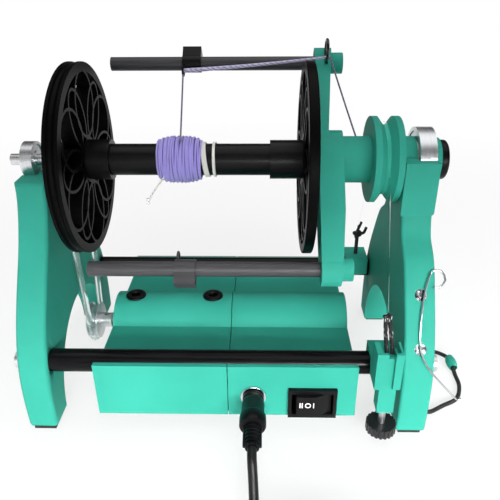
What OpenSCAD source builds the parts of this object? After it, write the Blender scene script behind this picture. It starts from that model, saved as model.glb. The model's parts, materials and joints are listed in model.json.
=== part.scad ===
// Table-top electric spinning wheel: bobbin and flyer between two arched uprights, belt drive and band brake.
// X runs along the spindle towards the orifice, Y to the back, Z up. Origin on the table midway between the
// uprights, under the spindle. Millimetres.

/* [Part shown] */
// Sub-part to draw, or all

/* [Stand] */
// Height of the spindle's axis above the table
axis_height = 111; // [108:1:120]
// Clear width between the uprights
upright_gap = 151; // [149:1:160]
// Thickness of an upright
upright_t = 13; // [12.5:0.5:16]
// Half the depth of an upright's foot
foot_half = 51; // [50:0.5:54]
// Width of a leg at the floor
leg_w = 13.5; // [13:0.5:15]
// Height of the arch between the legs
arch_h = 41.5; // [36:0.5:46]
// Thickness of the rubber feet
pad_t = 2; // [1.5:0.5:3]
// Radius of the cross rods
rod_r = 5; // [4.5:0.1:5.2]
// Height of the cross rods
rod_z = 34; // [33:0.5:36]
// Rod axis behind the foot's front edge
rod_inset = 8.5; // [8.3:0.1:9.5]

/* [Base housing] */
// Left end of the housing, measured from the left upright
housing_gap_left = 19.5; // [19:0.5:22]
// Right end of the housing, measured from the right upright
housing_gap_right = 18.5; // [18:0.5:22]
// Seam between the halves, right of the middle
seam_x = 1.4; // [0:0.2:3]
// Underside of the housing
housing_z = 10; // [9.5:0.5:10]
// Wall thickness of the housing
wall = 2; // [1.8:0.1:2.2]
// Lip in front of a rod
lip_t = 1.65; // [1.5:0.05:2]
// Radius of the motor's can
motor_r = 12.2; // [11.5:0.1:12.4]
// Length of the motor's can
motor_len = 33; // [28:1:36]
// Switch centre, right of the middle
switch_x = 38; // [36:0.5:39]
// Socket centre, right of the middle
jack_x = 12.5; // [11:0.5:14]

/* [Bobbin] */
// Radius of the bobbin's discs
disc_r = 41; // [40:0.5:43]
// Width of the left disc's rim
rim_w = 6; // [5.5:0.5:7]
// Thickness of the right disc
flat_w = 4.1; // [3.6:0.1:4.6]
// Radius of the core tube
core_r = 6.85; // [6.5:0.05:7.2]
// Belt centre radius on the drive whorl
whorl_belt_r = 16; // [15:0.5:18]
// Belt centre radius on the motor pulley
pulley_belt_r = 9.2; // [8.8:0.2:10]
// Radius of the round drive belt
belt_r = 1.4; // [1.2:0.05:1.5]

/* [Flyer] */
// Radius of the flyer's shaft
shaft_r = 2.5; // [2.4:0.05:2.6]
// Radius of an arm
arm_r = 3.1; // [2.9:0.05:3.3]
// Gap between the discs and the arms
arm_gap = 6.3; // [6:0.1:7]
// Angle of the arms from the horizontal
arm_angle = 43; // [40:1:46]
// Bore of the orifice
orifice_r = 5; // [4.5:0.1:5.2]
// Radius of the brake whorl
brake_r = 18.5; // [18:0.5:19]
// Travel position of the upper hook, from the middle
hook_x = -17; // [-24:0.2:-10]

/* [Brake] */
// Half thickness of the clear brake line
band_r = 0.65; // [0.5:0.05:0.75]
// Side of the square slider
slider_w = 7; // [6.6:0.1:7.4]
// Radius of the tension knob
knob_r = 6.5; // [6:0.25:7.5]

/* [Cord] */
// Radius of the power cord
cord_r = 1.9; // [1.7:0.1:2]

/* [Hidden] */
$fn = 64;
ah = axis_height;
eps = 0.01;
big = 60;
fit = 0.05;
push = 0.02;
xi = upright_gap / 2;
xo = xi + upright_t;
arch_w = foot_half - leg_w;
rod_y = foot_half - rod_inset;
rod_depth = 8;
rod_end = xi + rod_depth;
screw_r = 2;
screw_grip = 10;
button_r = 3.8;
button_h = 2.2;
foot_side = 10;
foot_y = arch_w + leg_w / 2;

// Outlines of the uprights, front half, as depth and height
lower_line = [[foot_half - 0.5, pad_t], [foot_half, 18], [foot_half - 1.5, 33],
    [foot_half - 6.5, 0.4325 * ah], [foot_half - 14, 0.5585 * ah]];
left_line = concat(lower_line, [[26, ah - 31.5], [20, ah - 19], [17.5, ah - 11], [17, ah - 5]]);
right_line = concat(lower_line, [[28, ah - 35], [19, ah - 28], [15.5, ah - 19]]);
line_steps = 4;

function cr(a, b, c, d, t) = 0.5 * (2 * b + (c - a) * t + (2 * a - 5 * b + 4 * c - d) * t * t
    + (3 * b - a - 3 * c + d) * t * t * t);
function smooth(p) = concat([for (i = [0:len(p) - 2]) for (k = [0:line_steps - 1])
    cr(p[max(i - 1, 0)], p[i], p[i + 1], p[min(i + 2, len(p) - 1)], k / line_steps)], [p[len(p) - 1]]);
left_edge = smooth(left_line);
right_edge = smooth(right_line);
function edge_y(edge, z) = lookup(z, [for (p = edge) [p[1], p[0]]]);

// Bearings
lb_r = 8;
lb_w = 5;
lb_x = -xo + 0.6;
lb_ring = 3.75;
rb_r = 14;
rb_w = 7;
rb_x = xi + 5.5;
rb_bore = 7.5;
rb_ring = 9.2;
race = 0.08;
shield = 0.4;
pocket_gap = 0.05;
pocket_air = 0.6;
saddle_half = 17.5;
saddle_up = 4;
saddle_down = 19;
saddle_over = 1;

// Housing section
rod_clear = 0.35;
trough_r = rod_r + rod_clear;
panel_y = rod_y + trough_r + lip_t;
shelf_z = rod_z - 2.5;
lip_z = rod_z + 2.5;
floor_t = 1.5;
motor_lift = 2.3;
motor_z = housing_z + floor_t + motor_lift + motor_r;
can_clear = 0.4;
hump_r = motor_r + can_clear + wall;
hx0 = -xi + housing_gap_left;
hx1 = xi - housing_gap_right;
end_t = 2.5;
seam_gap = 0.3;
floor_gap = 0.2;
post_r = 3;
post_y = 29;
post_in = 9;
pilot_r = 1.2;
floor_head_r = 2.6;
floor_head_h = 1.4;
can_x0 = hx0 + end_t + 0.1;
can_x1 = can_x0 + motor_len;
boss_r = 3;
boss_len = 3;
mshaft_r = 1.5;
mshaft_in = 10;
grommet_r = 5;
grommet_stem = 3;
grommet_h = 1.2;
grommet_x = [hx0 + 9.5, hx0 + 47.7];
board = [38, 36, 1.6];
board_z = housing_z + floor_t + 5;
board_x = hx1 - 13 - board[0];
board_post = 2;
jack_z = housing_z + 11;
jack_barrel = 4;
jack_pin = 2.8;
jack_depth = 9;
nut_r = 5.5;
nut_t = 1.3;
sw_z = housing_z + 8;
sw_bezel = [21, 2, 15];
sw_body = [18.4, 13, 12.6];
sw_window = [17.9, 11.2];
sw_wall = 0.9;
rocker_tip = 12;
rocker_half = 7.8;
rocker_h = 10.8;
rocker_t = 2.6;
rocker_rise = 1.7;
rocker_pin = 0.9;
rocker_pivot = -panel_y + 1;

// Bobbin stations along the spindle
whorl_gap = 4.2;
whorl_w = 5.8;
wx0 = -xi + whorl_gap;
wx1 = wx0 + whorl_w;
belt_x = (wx0 + wx1) / 2;
belt_gap = 0.35;
dx0 = wx1;
dx1 = dx0 + rim_w;
whorl_over = 0.5;

// Flyer stations along the spindle
bw_x1 = xi - 1.5;
bw_w = 12;
bw_x0 = bw_x1 - bw_w;
band_x = (bw_x0 + bw_x1) / 2;
hub_len = 12;
bar_t = 10.2;
thin_half = 3.8;
thick_half = 12.1;
half_lean = 3.5;
bar_x1 = bw_x0 - hub_len;
bar_x0 = bar_x1 - bar_t;
disc_gap = 2.4;
ex1 = bar_x0 - disc_gap;
ex0 = ex1 - flat_w;
collar_l = 9.8;
collar_l_r = 8.7;
collar_r = 14;
collar_r_r = 8.4;
core_bore = 4.4;
bush_len = 12;
bush_lip = 1;
rosette_line = 1.2;
petals = 6;
rosette = [[22, 13.4, 8, 54], [24, 13.8, 12, 24]];
rim_in = 37;
rim_groove = 1.6;
hub_ring = 9.9;
arm_radius = disc_r + arm_gap + arm_r;
arm_dir = [cos(arm_angle), sin(arm_angle)];
arm_y = arm_radius * arm_dir[0];
arm_z = arm_radius * arm_dir[1];
arm_x0 = dx1 + 4.5;
arm_x1 = bar_x0 + 11;
bar_hub_r = 11.5;
bar_end_r = 6.8;
bar_hub_w = bar_hub_r - 0.6;
bar_end_w = bar_end_r - 0.4;
socket_r = 4.7;
socket_x1 = bar_x0 + 13;
spigot_r = 8;
spigot_x = bar_x0 + 4;
tube_r = 10;
shaft_x0 = -xo - 6;
shaft_x1 = bar_x1 + 4;
bore_x = bar_x1 + 6;
seat_x = rb_x - 0.1;
seat_x1 = xo + 3;
insert_x1 = xo + 6.5;
insert_r = 8.5;
insert_wall = 1;
insert_in = 7.5;
ring_r = 9.5;
groove_r = 15;
groove_half = 3.4;
side_hole_r = 1.6;
side_hole_x = bar_x1 + 8;

// Yarn eye and hooks
eye_at = [-7.9, 6.9];
eye_x = bar_x0 + 4.9;
eye_r = 4.4;
eye_wire = 0.7;
eye_half = eye_r + eye_wire + fit;
eye_slot = norm(eye_at) - eye_half;
eye_pass = [-9.9, 4.4];
hook_len = 8.6;
hook_r = 4;
hook_lug = [6.6, 7.2];
pig_at = [-6, -2.1];
pig_r = 2.3;
pig_wire = 0.5;
pig_in = 0.7;
lower_shift = 1.85;
yarn_r = 0.45;

// Winding on the bobbin
wind_x0 = -29.4;
wind_x1 = -10;
wind_r = 0.4;
wind_loops = 14.5;
wind_rings = 24;
wind_end = 8.6;
wind_mid = 10.2;
wind_gap = 0.06;

// Brake pieces
guide_x0 = band_x - 6;
guide_x1 = band_x + 4.6;
slider_y = -rod_y - 10.5;
channel = slider_w + 0.4;
guide_y0 = slider_y - channel / 2 - 1.3;
guide_y1 = -rod_y + rod_r + 1.6;
guide_z0 = rod_z - 1.7;
guide_z1 = rod_z + 16;
guide_slot = 3;
tpin_r = 1;
tpin_z = rod_z + 0.5;
slider_z0 = 18.5;
slider_z1 = guide_z1 - 3;
slider_up = 1;
slider_down = 4;
slot_half = 1.4;
tscrew_r = 1.5;
knob_z0 = 6;
knob_h = 4.3;
knob_flutes = 20;
flute_r = 0.5;
hitch_z = slider_z1 - 1.8;
hitch_r = 0.8;
hitch_slot = 2.4;
hitch_air = 0.4;
hitch_half = 1;
elastic_r = 0.9;
band_front = [-42, 57];
band_rear = [42, 57];
bead_r = 2;
band_path_r = groove_r + 0.35 + band_r;
anchor_half = 5.8;
anchor_y = 7;
anchor_z0 = rod_z - 1.2;
anchor_z1 = rod_z + 8.8;
acord_r = 1;
acord_in = 3;
knot_z = 54;
knot_r = 2.6;

// Threading hook and its magnets
mag_x = xo - 6.2;
mag_r = 2.5;
mag_t = 2.5;
mag_z = [43.8, ah - 46.9];
wire_r = 0.6;
wire_gap = 0.4;
wire_shape = [[4.7, 1.16], [7.4, 1.16], [9.9, 1.29], [8.2, 1.45], [4.5, 1.44], [2.7, 1.27], [1, 1], [0.1, 0.73],
    [-0.6, 0.4], [-0.5, 0.11], [0.2, -0.03], [2.2, -0.12], [5.4, -0.22], [11, -0.36], [15.9, -0.48], [17.8, -0.5],
    [18.9, -0.48]];

// Tether loop beside the right upright
tether_r = 1;
tether_air = 0.25;
bead_len = 8;
bead_air = 0.8;
bead_wall = 0.65;
tether_y = 9 - foot_half;
tether_z = pad_t + 4;
tether_route = [[xo - 2, tether_y, tether_z], [xo + 1.5, tether_y, tether_z], [xo + 6, -38, 2], [xo + 13, -33, 1],
    [xo + 21, -28, 1], [xo + 25, -19, 1], [xo + 25.5, -10, 1], [xo + 25.5, -3, 2.6], [xo + 25, 3, 1.6],
    [xo + 20, 8, 1], [xo + 11, 10, 1], [xo + 3, 6, 1], [xi + 6, -4, 1], [xi + 1, -16, 1], [xi - 3, -28, 1],
    [xi - 4.5, -36, 2], [xi - 1.5, tether_y, tether_z], [xi + 2, tether_y, tether_z]];
bead_at = 7;

// Power lead
plug_y0 = -panel_y - nut_t - 0.2;
plug_r = 4.9;
plug_len = 11;
plug_collar_r = 5.6;
plug_collar = 6;
relief_len = 11;
relief_r = 3.6;
relief_ribs = 4;
lead_y = plug_y0 - plug_len - plug_collar - relief_len;
coil_mid = 21;
coil_turns = 9.25;
coil_layers = 4;
coil_pitch = 2 * cord_r + 0.55;
tie_t = 0.8;
coil_lift = tie_t + 0.4 + cord_r;
coil_per_layer = coil_turns / coil_layers;
coil_out = coil_mid + coil_pitch * coil_per_layer / 2;
coil_x = 15 + coil_out;
coil_y = -138;
coil_rings = 24;
lead_route = [[jack_x, lead_y - 0.1, jack_z], [jack_x, lead_y - 4, jack_z - 1], [13, -88, 14], [13.5, -94, 7],
    [14, -102, 3.2], [15, -112, coil_lift], [15, -124, coil_lift], [15, coil_y + 4, coil_lift],
    [15, coil_y + 0.1, coil_lift]];
adapter_size = [64, 42, 28];
adapter_gap = 20;

green = "#2fa086";
black = "#1b1b1d";
steel = "#b9bcc0";

// Helpers
module along_x(x0, x1) {
    translate([x0, 0, 0]) rotate([90, 0, 90]) linear_extrude(x1 - x0) children();
}
module bar_x(x0, x1, r, y, z) {
    translate([x0, y, z]) rotate([0, 90, 0]) cylinder(h = x1 - x0, r = r);
}
module bar_y(y0, y1, r, x, z) {
    translate([x, y0, z]) rotate([-90, 0, 0]) cylinder(h = y1 - y0, r = r);
}
module turned(points) {
    translate([0, 0, ah]) rotate([0, 90, 0]) rotate_extrude() polygon(points);
}
module tube_x(x0, x1, r0, r1) {
    turned([[r0, x0], [r1, x0], [r1, x1], [r0, x1]]);
}
module torus_x(at, r, w) {
    translate(at) rotate([0, 90, 0]) rotate_extrude() translate([r, 0]) circle(w);
}
module link(a, b, r) {
    d = b - a;
    translate(a) rotate([0, acos(d[2] / norm(d)), atan2(d[1], d[0])]) cylinder(h = norm(d), r = r);
}
module block(lo, hi) {
    translate(lo) cube(hi - lo);
}
module both() {
    children();
    mirror([0, 1, 0]) children();
}

// A round tube along points
function unit(v) = v / norm(v);
function tangent(p, i, closed) = let (n = len(p)) closed ? unit(p[(i + 1) % n] - p[(i + n - 1) % n])
    : unit(p[min(i + 1, n - 1)] - p[max(i - 1, 0)]);
function square_to(n, t) = unit(n - (n * t) * t);
function carried(p, n, i = 0, out = []) = i == len(p) ? out
    : let (m = square_to(n, tangent(p, i, false))) carried(p, m, i + 1, concat(out, [m]));
module tube(p, r, sides, up, closed = false) {
    n = len(p);
    ns = closed ? [for (i = [0:n - 1]) square_to(up, tangent(p, i, true))] : carried(p, up);
    pts = [for (i = [0:n - 1]) let (t = tangent(p, i, closed), b = cross(t, ns[i]))
        for (s = [0:sides - 1]) p[i] + r * (cos(360 * s / sides) * ns[i] + sin(360 * s / sides) * b)];
    quads = [for (i = [0:(closed ? n - 1 : n - 2)]) for (s = [0:sides - 1])
        let (j = (i + 1) % n, k = (s + 1) % sides)
        [i * sides + s, j * sides + s, j * sides + k, i * sides + k]];
    sidefaces = [for (q = quads) for (f = [[q[0], q[1], q[2]], [q[0], q[2], q[3]]]) f];
    caps = closed ? [] : [[for (s = [0:sides - 1]) s], [for (s = [sides - 1:-1:0]) (n - 1) * sides + s]];
    polyhedron(pts, concat(sidefaces, caps));
}
function rounded(p, steps) = concat([for (i = [0:len(p) - 2]) for (k = [0:steps - 1])
    cr(p[max(i - 1, 0)], p[i], p[i + 1], p[min(i + 2, len(p) - 1)], k / steps)], [p[len(p) - 1]]);
function rounded_loop(p, steps) = let (n = len(p)) [for (i = [0:n - 1]) for (k = [0:steps - 1])
    cr(p[(i + n - 1) % n], p[i], p[(i + 1) % n], p[(i + 2) % n], k / steps)];

// Least gap between turns of a coil, points less than half a turn apart left out
function self_gap(p, rings, r) = min([for (i = [0:3:len(p) - 1]) for (j = [i + ceil(rings / 2):len(p) - 1])
    norm(p[i] - p[j])]) - 2 * r;

// Stand
module outline(edge) {
    difference() {
        polygon(concat(edge, [for (i = [len(edge) - 1:-1:0]) [-edge[i][0], edge[i][1]]]));
        polygon(concat([[arch_w, 0], [-arch_w, 0]],
            [for (i = [0:32]) [-arch_w * cos(i * 180 / 32), pad_t + (arch_h - pad_t) * sin(i * 180 / 32)]]));
    }
}
module rod_holes(x_in, x_out) {
    both() {
        bar_x(min(x_in, x_out), max(x_in, x_out), rod_r + fit, rod_y, rod_z);
        bar_x(-xo - 1, xo + 1, screw_r + 0.2, rod_y, rod_z);
    }
}
module left_upright() color(green) difference() {
    along_x(-xo, -xi) outline(left_edge);
    rod_holes(-rod_end - 0.1, -xi + 1);
    bar_x(-xo - 1, lb_x + lb_w + pocket_air, lb_r + pocket_gap, 0, ah);
}
module right_upright() color(green) difference() {
    union() {
        along_x(xi, xo) outline(right_edge);
        block([xi - saddle_over, -saddle_half, ah - saddle_down], [xo, saddle_half, ah + saddle_up]);
    }
    rod_holes(xi - 1, rod_end + 0.1);
    bar_x(rb_x - pocket_air, xo + 1, rb_r + pocket_gap, 0, ah);
    block([rb_x - pocket_air, -rb_r - pocket_gap, ah], [xo + 1, rb_r + pocket_gap, ah + big]);
    bar_x(xi - big, xo, tube_r + 0.5, 0, ah);
    block([xi - big, -tube_r - 0.5, ah], [xo, tube_r + 0.5, ah + big]);
    bar_x(xi - 1, xo + 1, tether_r + tether_air, tether_y, tether_z);
    for (z = mag_z) magnet_place(z) translate([0, 0, -mag_t - fit]) cylinder(h = mag_t + fit + 1, r = mag_r + fit);
}
module rubber_feet() color(black) for (x = [-1, 1]) for (y = [-1, 1])
    translate([x * (xi + xo) / 2, y * foot_y, pad_t / 2]) cube([foot_side, foot_side, pad_t], center = true);
module cross_rods() color(black) both() difference() {
    bar_x(-rod_end, rod_end, rod_r, rod_y, rod_z);
    bar_x(-rod_end - 1, -rod_end + screw_grip, screw_r + push, rod_y, rod_z);
    bar_x(rod_end - screw_grip, rod_end + 1, screw_r + push, rod_y, rod_z);
}
module rod_screws() color(steel) both() for (m = [0, 1]) mirror([m, 0, 0]) {
    bar_x(rod_end - screw_grip + 1, xo + eps, screw_r, rod_y, rod_z);
    difference() {
        bar_x(xo, xo + button_h, button_r, rod_y, rod_z);
        translate([xo + button_h / 2, rod_y, rod_z]) rotate([0, 90, 0]) cylinder(h = button_h, r = 1.4, $fn = 6);
    }
}

// Base housing
module section(inset) {
    difference() {
        union() {
            translate([-panel_y + inset, housing_z]) square([2 * (panel_y - inset), shelf_z - inset - housing_z]);
            if (inset == 0) for (s = [-1, 1]) translate([s * panel_y - (s > 0 ? lip_t + 1 : 0), housing_z])
                square([lip_t + 1, lip_z - housing_z]);
            intersection() {
                translate([0, motor_z]) circle(hump_r - inset);
                translate([-big, housing_z]) square([2 * big, 2 * big]);
            }
        }
        for (s = [-1, 1]) translate([s * rod_y, rod_z]) circle(trough_r + inset);
    }
}
module housing_shell(x0, x1, open_left, open_right) {
    difference() {
        along_x(x0, x1) section(0);
        along_x(open_left ? x0 - 1 : x0 + end_t, open_right ? x1 + 1 : x1 - end_t) section(wall);
        block([open_left ? x0 - 1 : x0 + end_t, -panel_y + wall, housing_z - 1],
            [open_right ? x1 + 1 : x1 - end_t, panel_y - wall, housing_z + floor_t + floor_gap]);
    }
}
function post_xs(x0, x1) = [x0 + post_in, x1 - post_in];
module posts(x0, x1) {
    for (x = post_xs(x0, x1)) for (s = [-1, 1]) difference() {
        translate([x, s * post_y, housing_z + floor_t]) cylinder(h = shelf_z - housing_z - floor_t - 1, r = post_r);
        translate([x, s * post_y, housing_z]) cylinder(h = 10, r = pilot_r + push);
    }
}
seam_l = seam_x - seam_gap / 2;
seam_r = seam_x + seam_gap / 2;
module housing_left() color(green) {
    difference() {
        housing_shell(hx0, seam_l, false, true);
        bar_x(hx0 - 1, hx0 + end_t + 1, boss_r + 0.1, 0, motor_z);
        for (x = grommet_x) translate([x, 0, motor_z]) cylinder(h = big, r = grommet_stem + fit);
    }
    posts(hx0, seam_l);
}
module housing_right() color(green) {
    difference() {
        housing_shell(seam_r, hx1, true, false);
        bar_y(-panel_y - 1, -panel_y + wall + 1, jack_barrel + fit, jack_x, jack_z);
        translate([switch_x, -panel_y, sw_z]) cube([sw_body[0] + 0.2, 3 * wall, sw_body[2] + 0.2], center = true);
    }
    posts(seam_r, hx1);
}
module housing_floor() color(green) difference() {
    union() {
        block([hx0 + end_t + floor_gap, -panel_y + wall + floor_gap, housing_z],
            [hx1 - end_t - floor_gap, panel_y - wall - floor_gap, housing_z + floor_t]);
        for (x = [can_x0 + 5, can_x1 - 8]) block([x, -8, housing_z + floor_t - eps], [x + 3, 8, motor_z - 6]);
        for (x = [board_x + 4, board_x + board[0] - 4]) for (s = [-1, 1])
            translate([x, s * (board[1] / 2 - 4), housing_z + floor_t - eps])
                cylinder(h = board_z - housing_z - floor_t + eps, r = board_post);
    }
    bar_x(hx0, hx1, motor_r + fit, 0, motor_z);
    for (x = concat(post_xs(hx0, seam_l), post_xs(seam_r, hx1))) for (s = [-1, 1])
        translate([x, s * post_y, housing_z - 1]) cylinder(h = floor_t + 2, r = pilot_r + 0.3);
}
module floor_screws() color(steel) for (x = concat(post_xs(hx0, seam_l), post_xs(seam_r, hx1))) for (s = [-1, 1])
    translate([x, s * post_y, 0]) {
        translate([0, 0, housing_z - floor_head_h]) cylinder(h = floor_head_h, r = floor_head_r);
        translate([0, 0, housing_z - eps]) cylinder(h = 8, r = pilot_r);
    }
module cover_grommets() color(black) for (x = grommet_x) {
    difference() {
        translate([x, 0, motor_z + hump_r - 2]) cylinder(h = 2 + grommet_h, r = grommet_r);
        bar_x(x - 2 * grommet_r, x + 2 * grommet_r, hump_r + push, 0, motor_z);
    }
    translate([x, 0, motor_z + hump_r - wall + 0.1]) cylinder(h = wall + grommet_h - 0.1, r = grommet_stem);
}
module motor_can() color(steel) difference() {
    union() {
        bar_x(can_x0, can_x1, motor_r, 0, motor_z);
        bar_x(can_x0 - boss_len, can_x0 + eps, boss_r, 0, motor_z);
    }
    bar_x(can_x0 - boss_len - 1, can_x0 + mshaft_in + 1, mshaft_r + fit, 0, motor_z);
}
module control_board() color("#1f5a33") {
    block([board_x, -board[1] / 2, board_z], [board_x + board[0], board[1] / 2, board_z + board[2]]);
    block([board_x + 6, -4, board_z + board[2] - eps], [board_x + 16, 8, board_z + board[2] + 4]);
    translate([board_x + 26, 9, board_z + board[2] - eps]) cylinder(h = 9, r = 4);
}
module dc_jack() color(black) difference() {
    union() {
        bar_y(-panel_y - nut_t, -panel_y + wall + 1, jack_barrel, jack_x, jack_z);
        bar_y(-panel_y + wall + fit, -panel_y + wall + 10, nut_r, jack_x, jack_z);
    }
    bar_y(-panel_y - nut_t - 1, -panel_y + jack_depth, jack_pin, jack_x, jack_z);
}
module dc_jack_nut() color(steel) difference() {
    bar_y(-panel_y - nut_t, -panel_y - push, nut_r, jack_x, jack_z);
    bar_y(-panel_y - nut_t - 1, -panel_y + 1, jack_barrel + push, jack_x, jack_z);
}
module switch_body() color(black) difference() {
    union() {
        translate([switch_x, -panel_y - push - sw_bezel[1] / 2, sw_z]) cube(sw_bezel, center = true);
        translate([switch_x, -panel_y - push - eps + sw_body[1] / 2, sw_z]) cube(sw_body, center = true);
    }
    translate([switch_x, -panel_y + sw_body[1] / 2 - sw_wall - 2, sw_z])
        cube([sw_window[0], sw_body[1] + 4, sw_window[1]], center = true);
    translate([switch_x, rocker_pivot, sw_z]) cylinder(h = sw_body[2] + 2, r = rocker_pin + fit, center = true);
}
module switch_rocker() color(black) translate([switch_x, rocker_pivot, sw_z]) rotate([0, 0, rocker_tip]) {
    linear_extrude(rocker_h, center = true) polygon([[-rocker_half, -3.2], [0, -3.2 - rocker_rise],
        [rocker_half, -3.2], [rocker_half, -3.2 + rocker_t], [2, 1.6], [-2, 1.6], [-rocker_half, -3.2 + rocker_t]]);
    cylinder(h = sw_body[2], r = rocker_pin, center = true);
}

// Drive
module motor_shaft() color(steel) bar_x(wx0 - 0.2, can_x0 + mshaft_in, mshaft_r, 0, motor_z);
module motor_pulley() color(steel) {
    translate([0, 0, motor_z - ah]) difference() {
        turned([[mshaft_r + push, wx0 + 0.3], [pulley_belt_r - 0.2, wx0 + 0.3], [pulley_belt_r - 0.2, belt_x - 2],
            [pulley_belt_r - belt_r - belt_gap, belt_x - 1], [pulley_belt_r - belt_r - belt_gap, belt_x + 1],
            [pulley_belt_r - 0.2, belt_x + 2], [pulley_belt_r - 0.2, wx1 - 0.3], [3.6, wx1 - 0.3],
            [3.6, wx1 + 5.5], [mshaft_r + push, wx1 + 5.5]]);
        translate([wx1 + 3, 0, ah]) cylinder(h = 8, r = 1.2);
    }
}
module drive_belt() color("#d9e2e4") {
    lean = asin((whorl_belt_r - pulley_belt_r) / (ah - motor_z));
    up = [for (i = [0:28]) let (a = -lean + i * (180 + 2 * lean) / 28)
        [belt_x, whorl_belt_r * cos(a), ah + whorl_belt_r * sin(a)]];
    down = [for (i = [0:20]) let (a = 180 + lean + i * (180 - 2 * lean) / 20)
        [belt_x, pulley_belt_r * cos(a), motor_z + pulley_belt_r * sin(a)]];
    tube(concat(up, down), belt_r, 8, [1, 0, 0], true);
}

// Bobbin
module oval(a, b) {
    polygon([for (k = [0:35]) [a * cos(10 * k), b * sin(10 * k)]]);
}
module rings2d() {
    for (ring = rosette) for (k = [0:petals - 1]) rotate(ring[3] + 360 * k / petals) translate([ring[0], 0])
        difference() {
            oval(ring[1] + rosette_line / 2, ring[2] + rosette_line / 2);
            oval(ring[1] - rosette_line / 2, ring[2] - rosette_line / 2);
        }
}
module open_disc(x0, x1, hole) {
    translate([0, 0, ah]) along_x(x0, x1) difference() {
        union() {
            intersection() {
                rings2d();
                circle(rim_in + 1);
            }
            difference() {
                circle(disc_r);
                circle(rim_in);
            }
            circle(hub_ring);
        }
        circle(hole);
    }
}
module bobbin_core() color(black) turned([[core_bore, dx0 + 0.2], [core_r, dx0 + 0.2], [core_r, dx1 + push],
    [collar_l_r, dx1 + push], [collar_l_r, dx1 + collar_l], [core_r, dx1 + collar_l], [core_r, ex0 - collar_r],
    [collar_r_r, ex0 - collar_r], [collar_r_r, ex0 - push], [core_r, ex0 - push], [core_r, ex1], [core_bore, ex1]]);
module left_disc() color(black) difference() {
    open_disc(dx0 + push, dx1, core_r + push);
    torus_x([dx0 + rim_w / 2, 0, ah], disc_r + rim_groove / 4, rim_groove);
}
module right_disc() color(black) open_disc(ex0, ex1, core_r + push);
module bobbin_whorl() color(black) turned([[core_bore, wx0], [whorl_belt_r + whorl_over, wx0],
    [whorl_belt_r + whorl_over, belt_x - 2.2], [whorl_belt_r - belt_r - belt_gap, belt_x - 1.4],
    [whorl_belt_r - belt_r - belt_gap, belt_x + 1.4], [whorl_belt_r + whorl_over, belt_x + 2.2],
    [whorl_belt_r + whorl_over, wx1], [core_bore, wx1]]);
module bobbin_bushes() color("#c9a45a") {
    turned([[shaft_r + fit, wx0 - bush_lip], [core_bore + 2, wx0 - bush_lip], [core_bore + 2, wx0 - push],
        [core_bore - push, wx0 - push], [core_bore - push, wx0 + bush_len], [shaft_r + fit, wx0 + bush_len]]);
    turned([[shaft_r + fit, ex1 - bush_len], [core_bore - push, ex1 - bush_len], [core_bore - push, ex1 + push],
        [core_bore + 2, ex1 + push], [core_bore + 2, ex1 + bush_lip], [shaft_r + fit, ex1 + bush_lip]]);
}
function wind_at(s) = wind_end + (wind_mid - wind_end) * (1 - pow(abs(2 * s - 1), 3));
module yarn_core() color("#8a7fd8") {
    steps = 16;
    pts = [for (i = [0:steps]) [core_r + wind_at(i / steps) - wind_end + 1, wind_x0 + (wind_x1 - wind_x0) * i / steps]];
    turned(concat([[core_r + fit, wind_x0]], pts, [[core_r + fit, wind_x1]]));
}
function wind_point(i) = let (s = i / (wind_loops * wind_rings), a = 122.2 - 360 * i / wind_rings,
    r = core_r + wind_at(0.03 + 0.94 * s) - wind_end + 1 + wind_r + wind_gap)
    [wind_x0 + wind_r + 0.1 + (wind_x1 - wind_x0 - 2 * wind_r - 0.2) * s, r * cos(a), ah + r * sin(a)];
wind_path = [for (i = [0:wind_loops * wind_rings]) wind_point(i)];
module yarn_winding() color("#8a7fd8") tube(wind_path, wind_r, 6, [1, 0, 0]);

// Flyer
module flyer_shaft() color(steel) bar_x(shaft_x0, shaft_x1, shaft_r, 0, ah);
module tapered_bar() {
    polygon([[-arm_radius, -bar_end_w], [0, -bar_hub_w], [arm_radius, -bar_end_w], [arm_radius, bar_end_w],
        [0, bar_hub_w], [-arm_radius, bar_end_w]]);
}
module bar_outline() {
    tapered_bar();
    circle(bar_hub_r);
    for (s = [-1, 1]) translate([s * arm_radius, 0]) circle(bar_end_r);
}
module half_trim(x, s) {
    difference() {
        linear_extrude(2 * big, center = true) polygon([[x, 0], [x + 2 * s * half_lean, 2 * s * arm_radius],
            [x + big, 2 * s * arm_radius], [x + big, 0]]);
        bar_x(bar_x0 - 1, x + 2 * big, bar_hub_r + 1, 0, 0);
    }
}
module at_arms() {
    for (m = [0, 180]) translate([0, 0, ah]) rotate([m, 0, 0]) translate([0, arm_y, arm_z]) children();
}
module crosspiece() color(green) difference() {
    union() {
        translate([0, 0, ah]) rotate([arm_angle, 0, 0]) difference() {
            along_x(bar_x0, bar_x1) bar_outline();
            half_trim(bar_x0 + thin_half, 1);
            half_trim(bar_x0 + thick_half, -1);
        }
        at_arms() bar_x(bar_x0 + 2, socket_x1, socket_r, 0, 0);
    }
    bar_x(bar_x0 - 1, bar_x1 + 1, shaft_r + push, 0, ah);
    bar_x(spigot_x - push, bar_x1 + 1, spigot_r + push, 0, ah);
    at_arms() bar_x(bar_x0 - 1, arm_x1 + push, arm_r + push, 0, 0);
    translate([eye_x, arm_y, ah + arm_z]) rotate([atan2(eye_at[1], eye_at[0]), 0, 0])
        block([-eye_wire - fit, eye_slot, -eye_half], [eye_wire + fit, eye_slot + 2 * eye_half, eye_half]);
}
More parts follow.
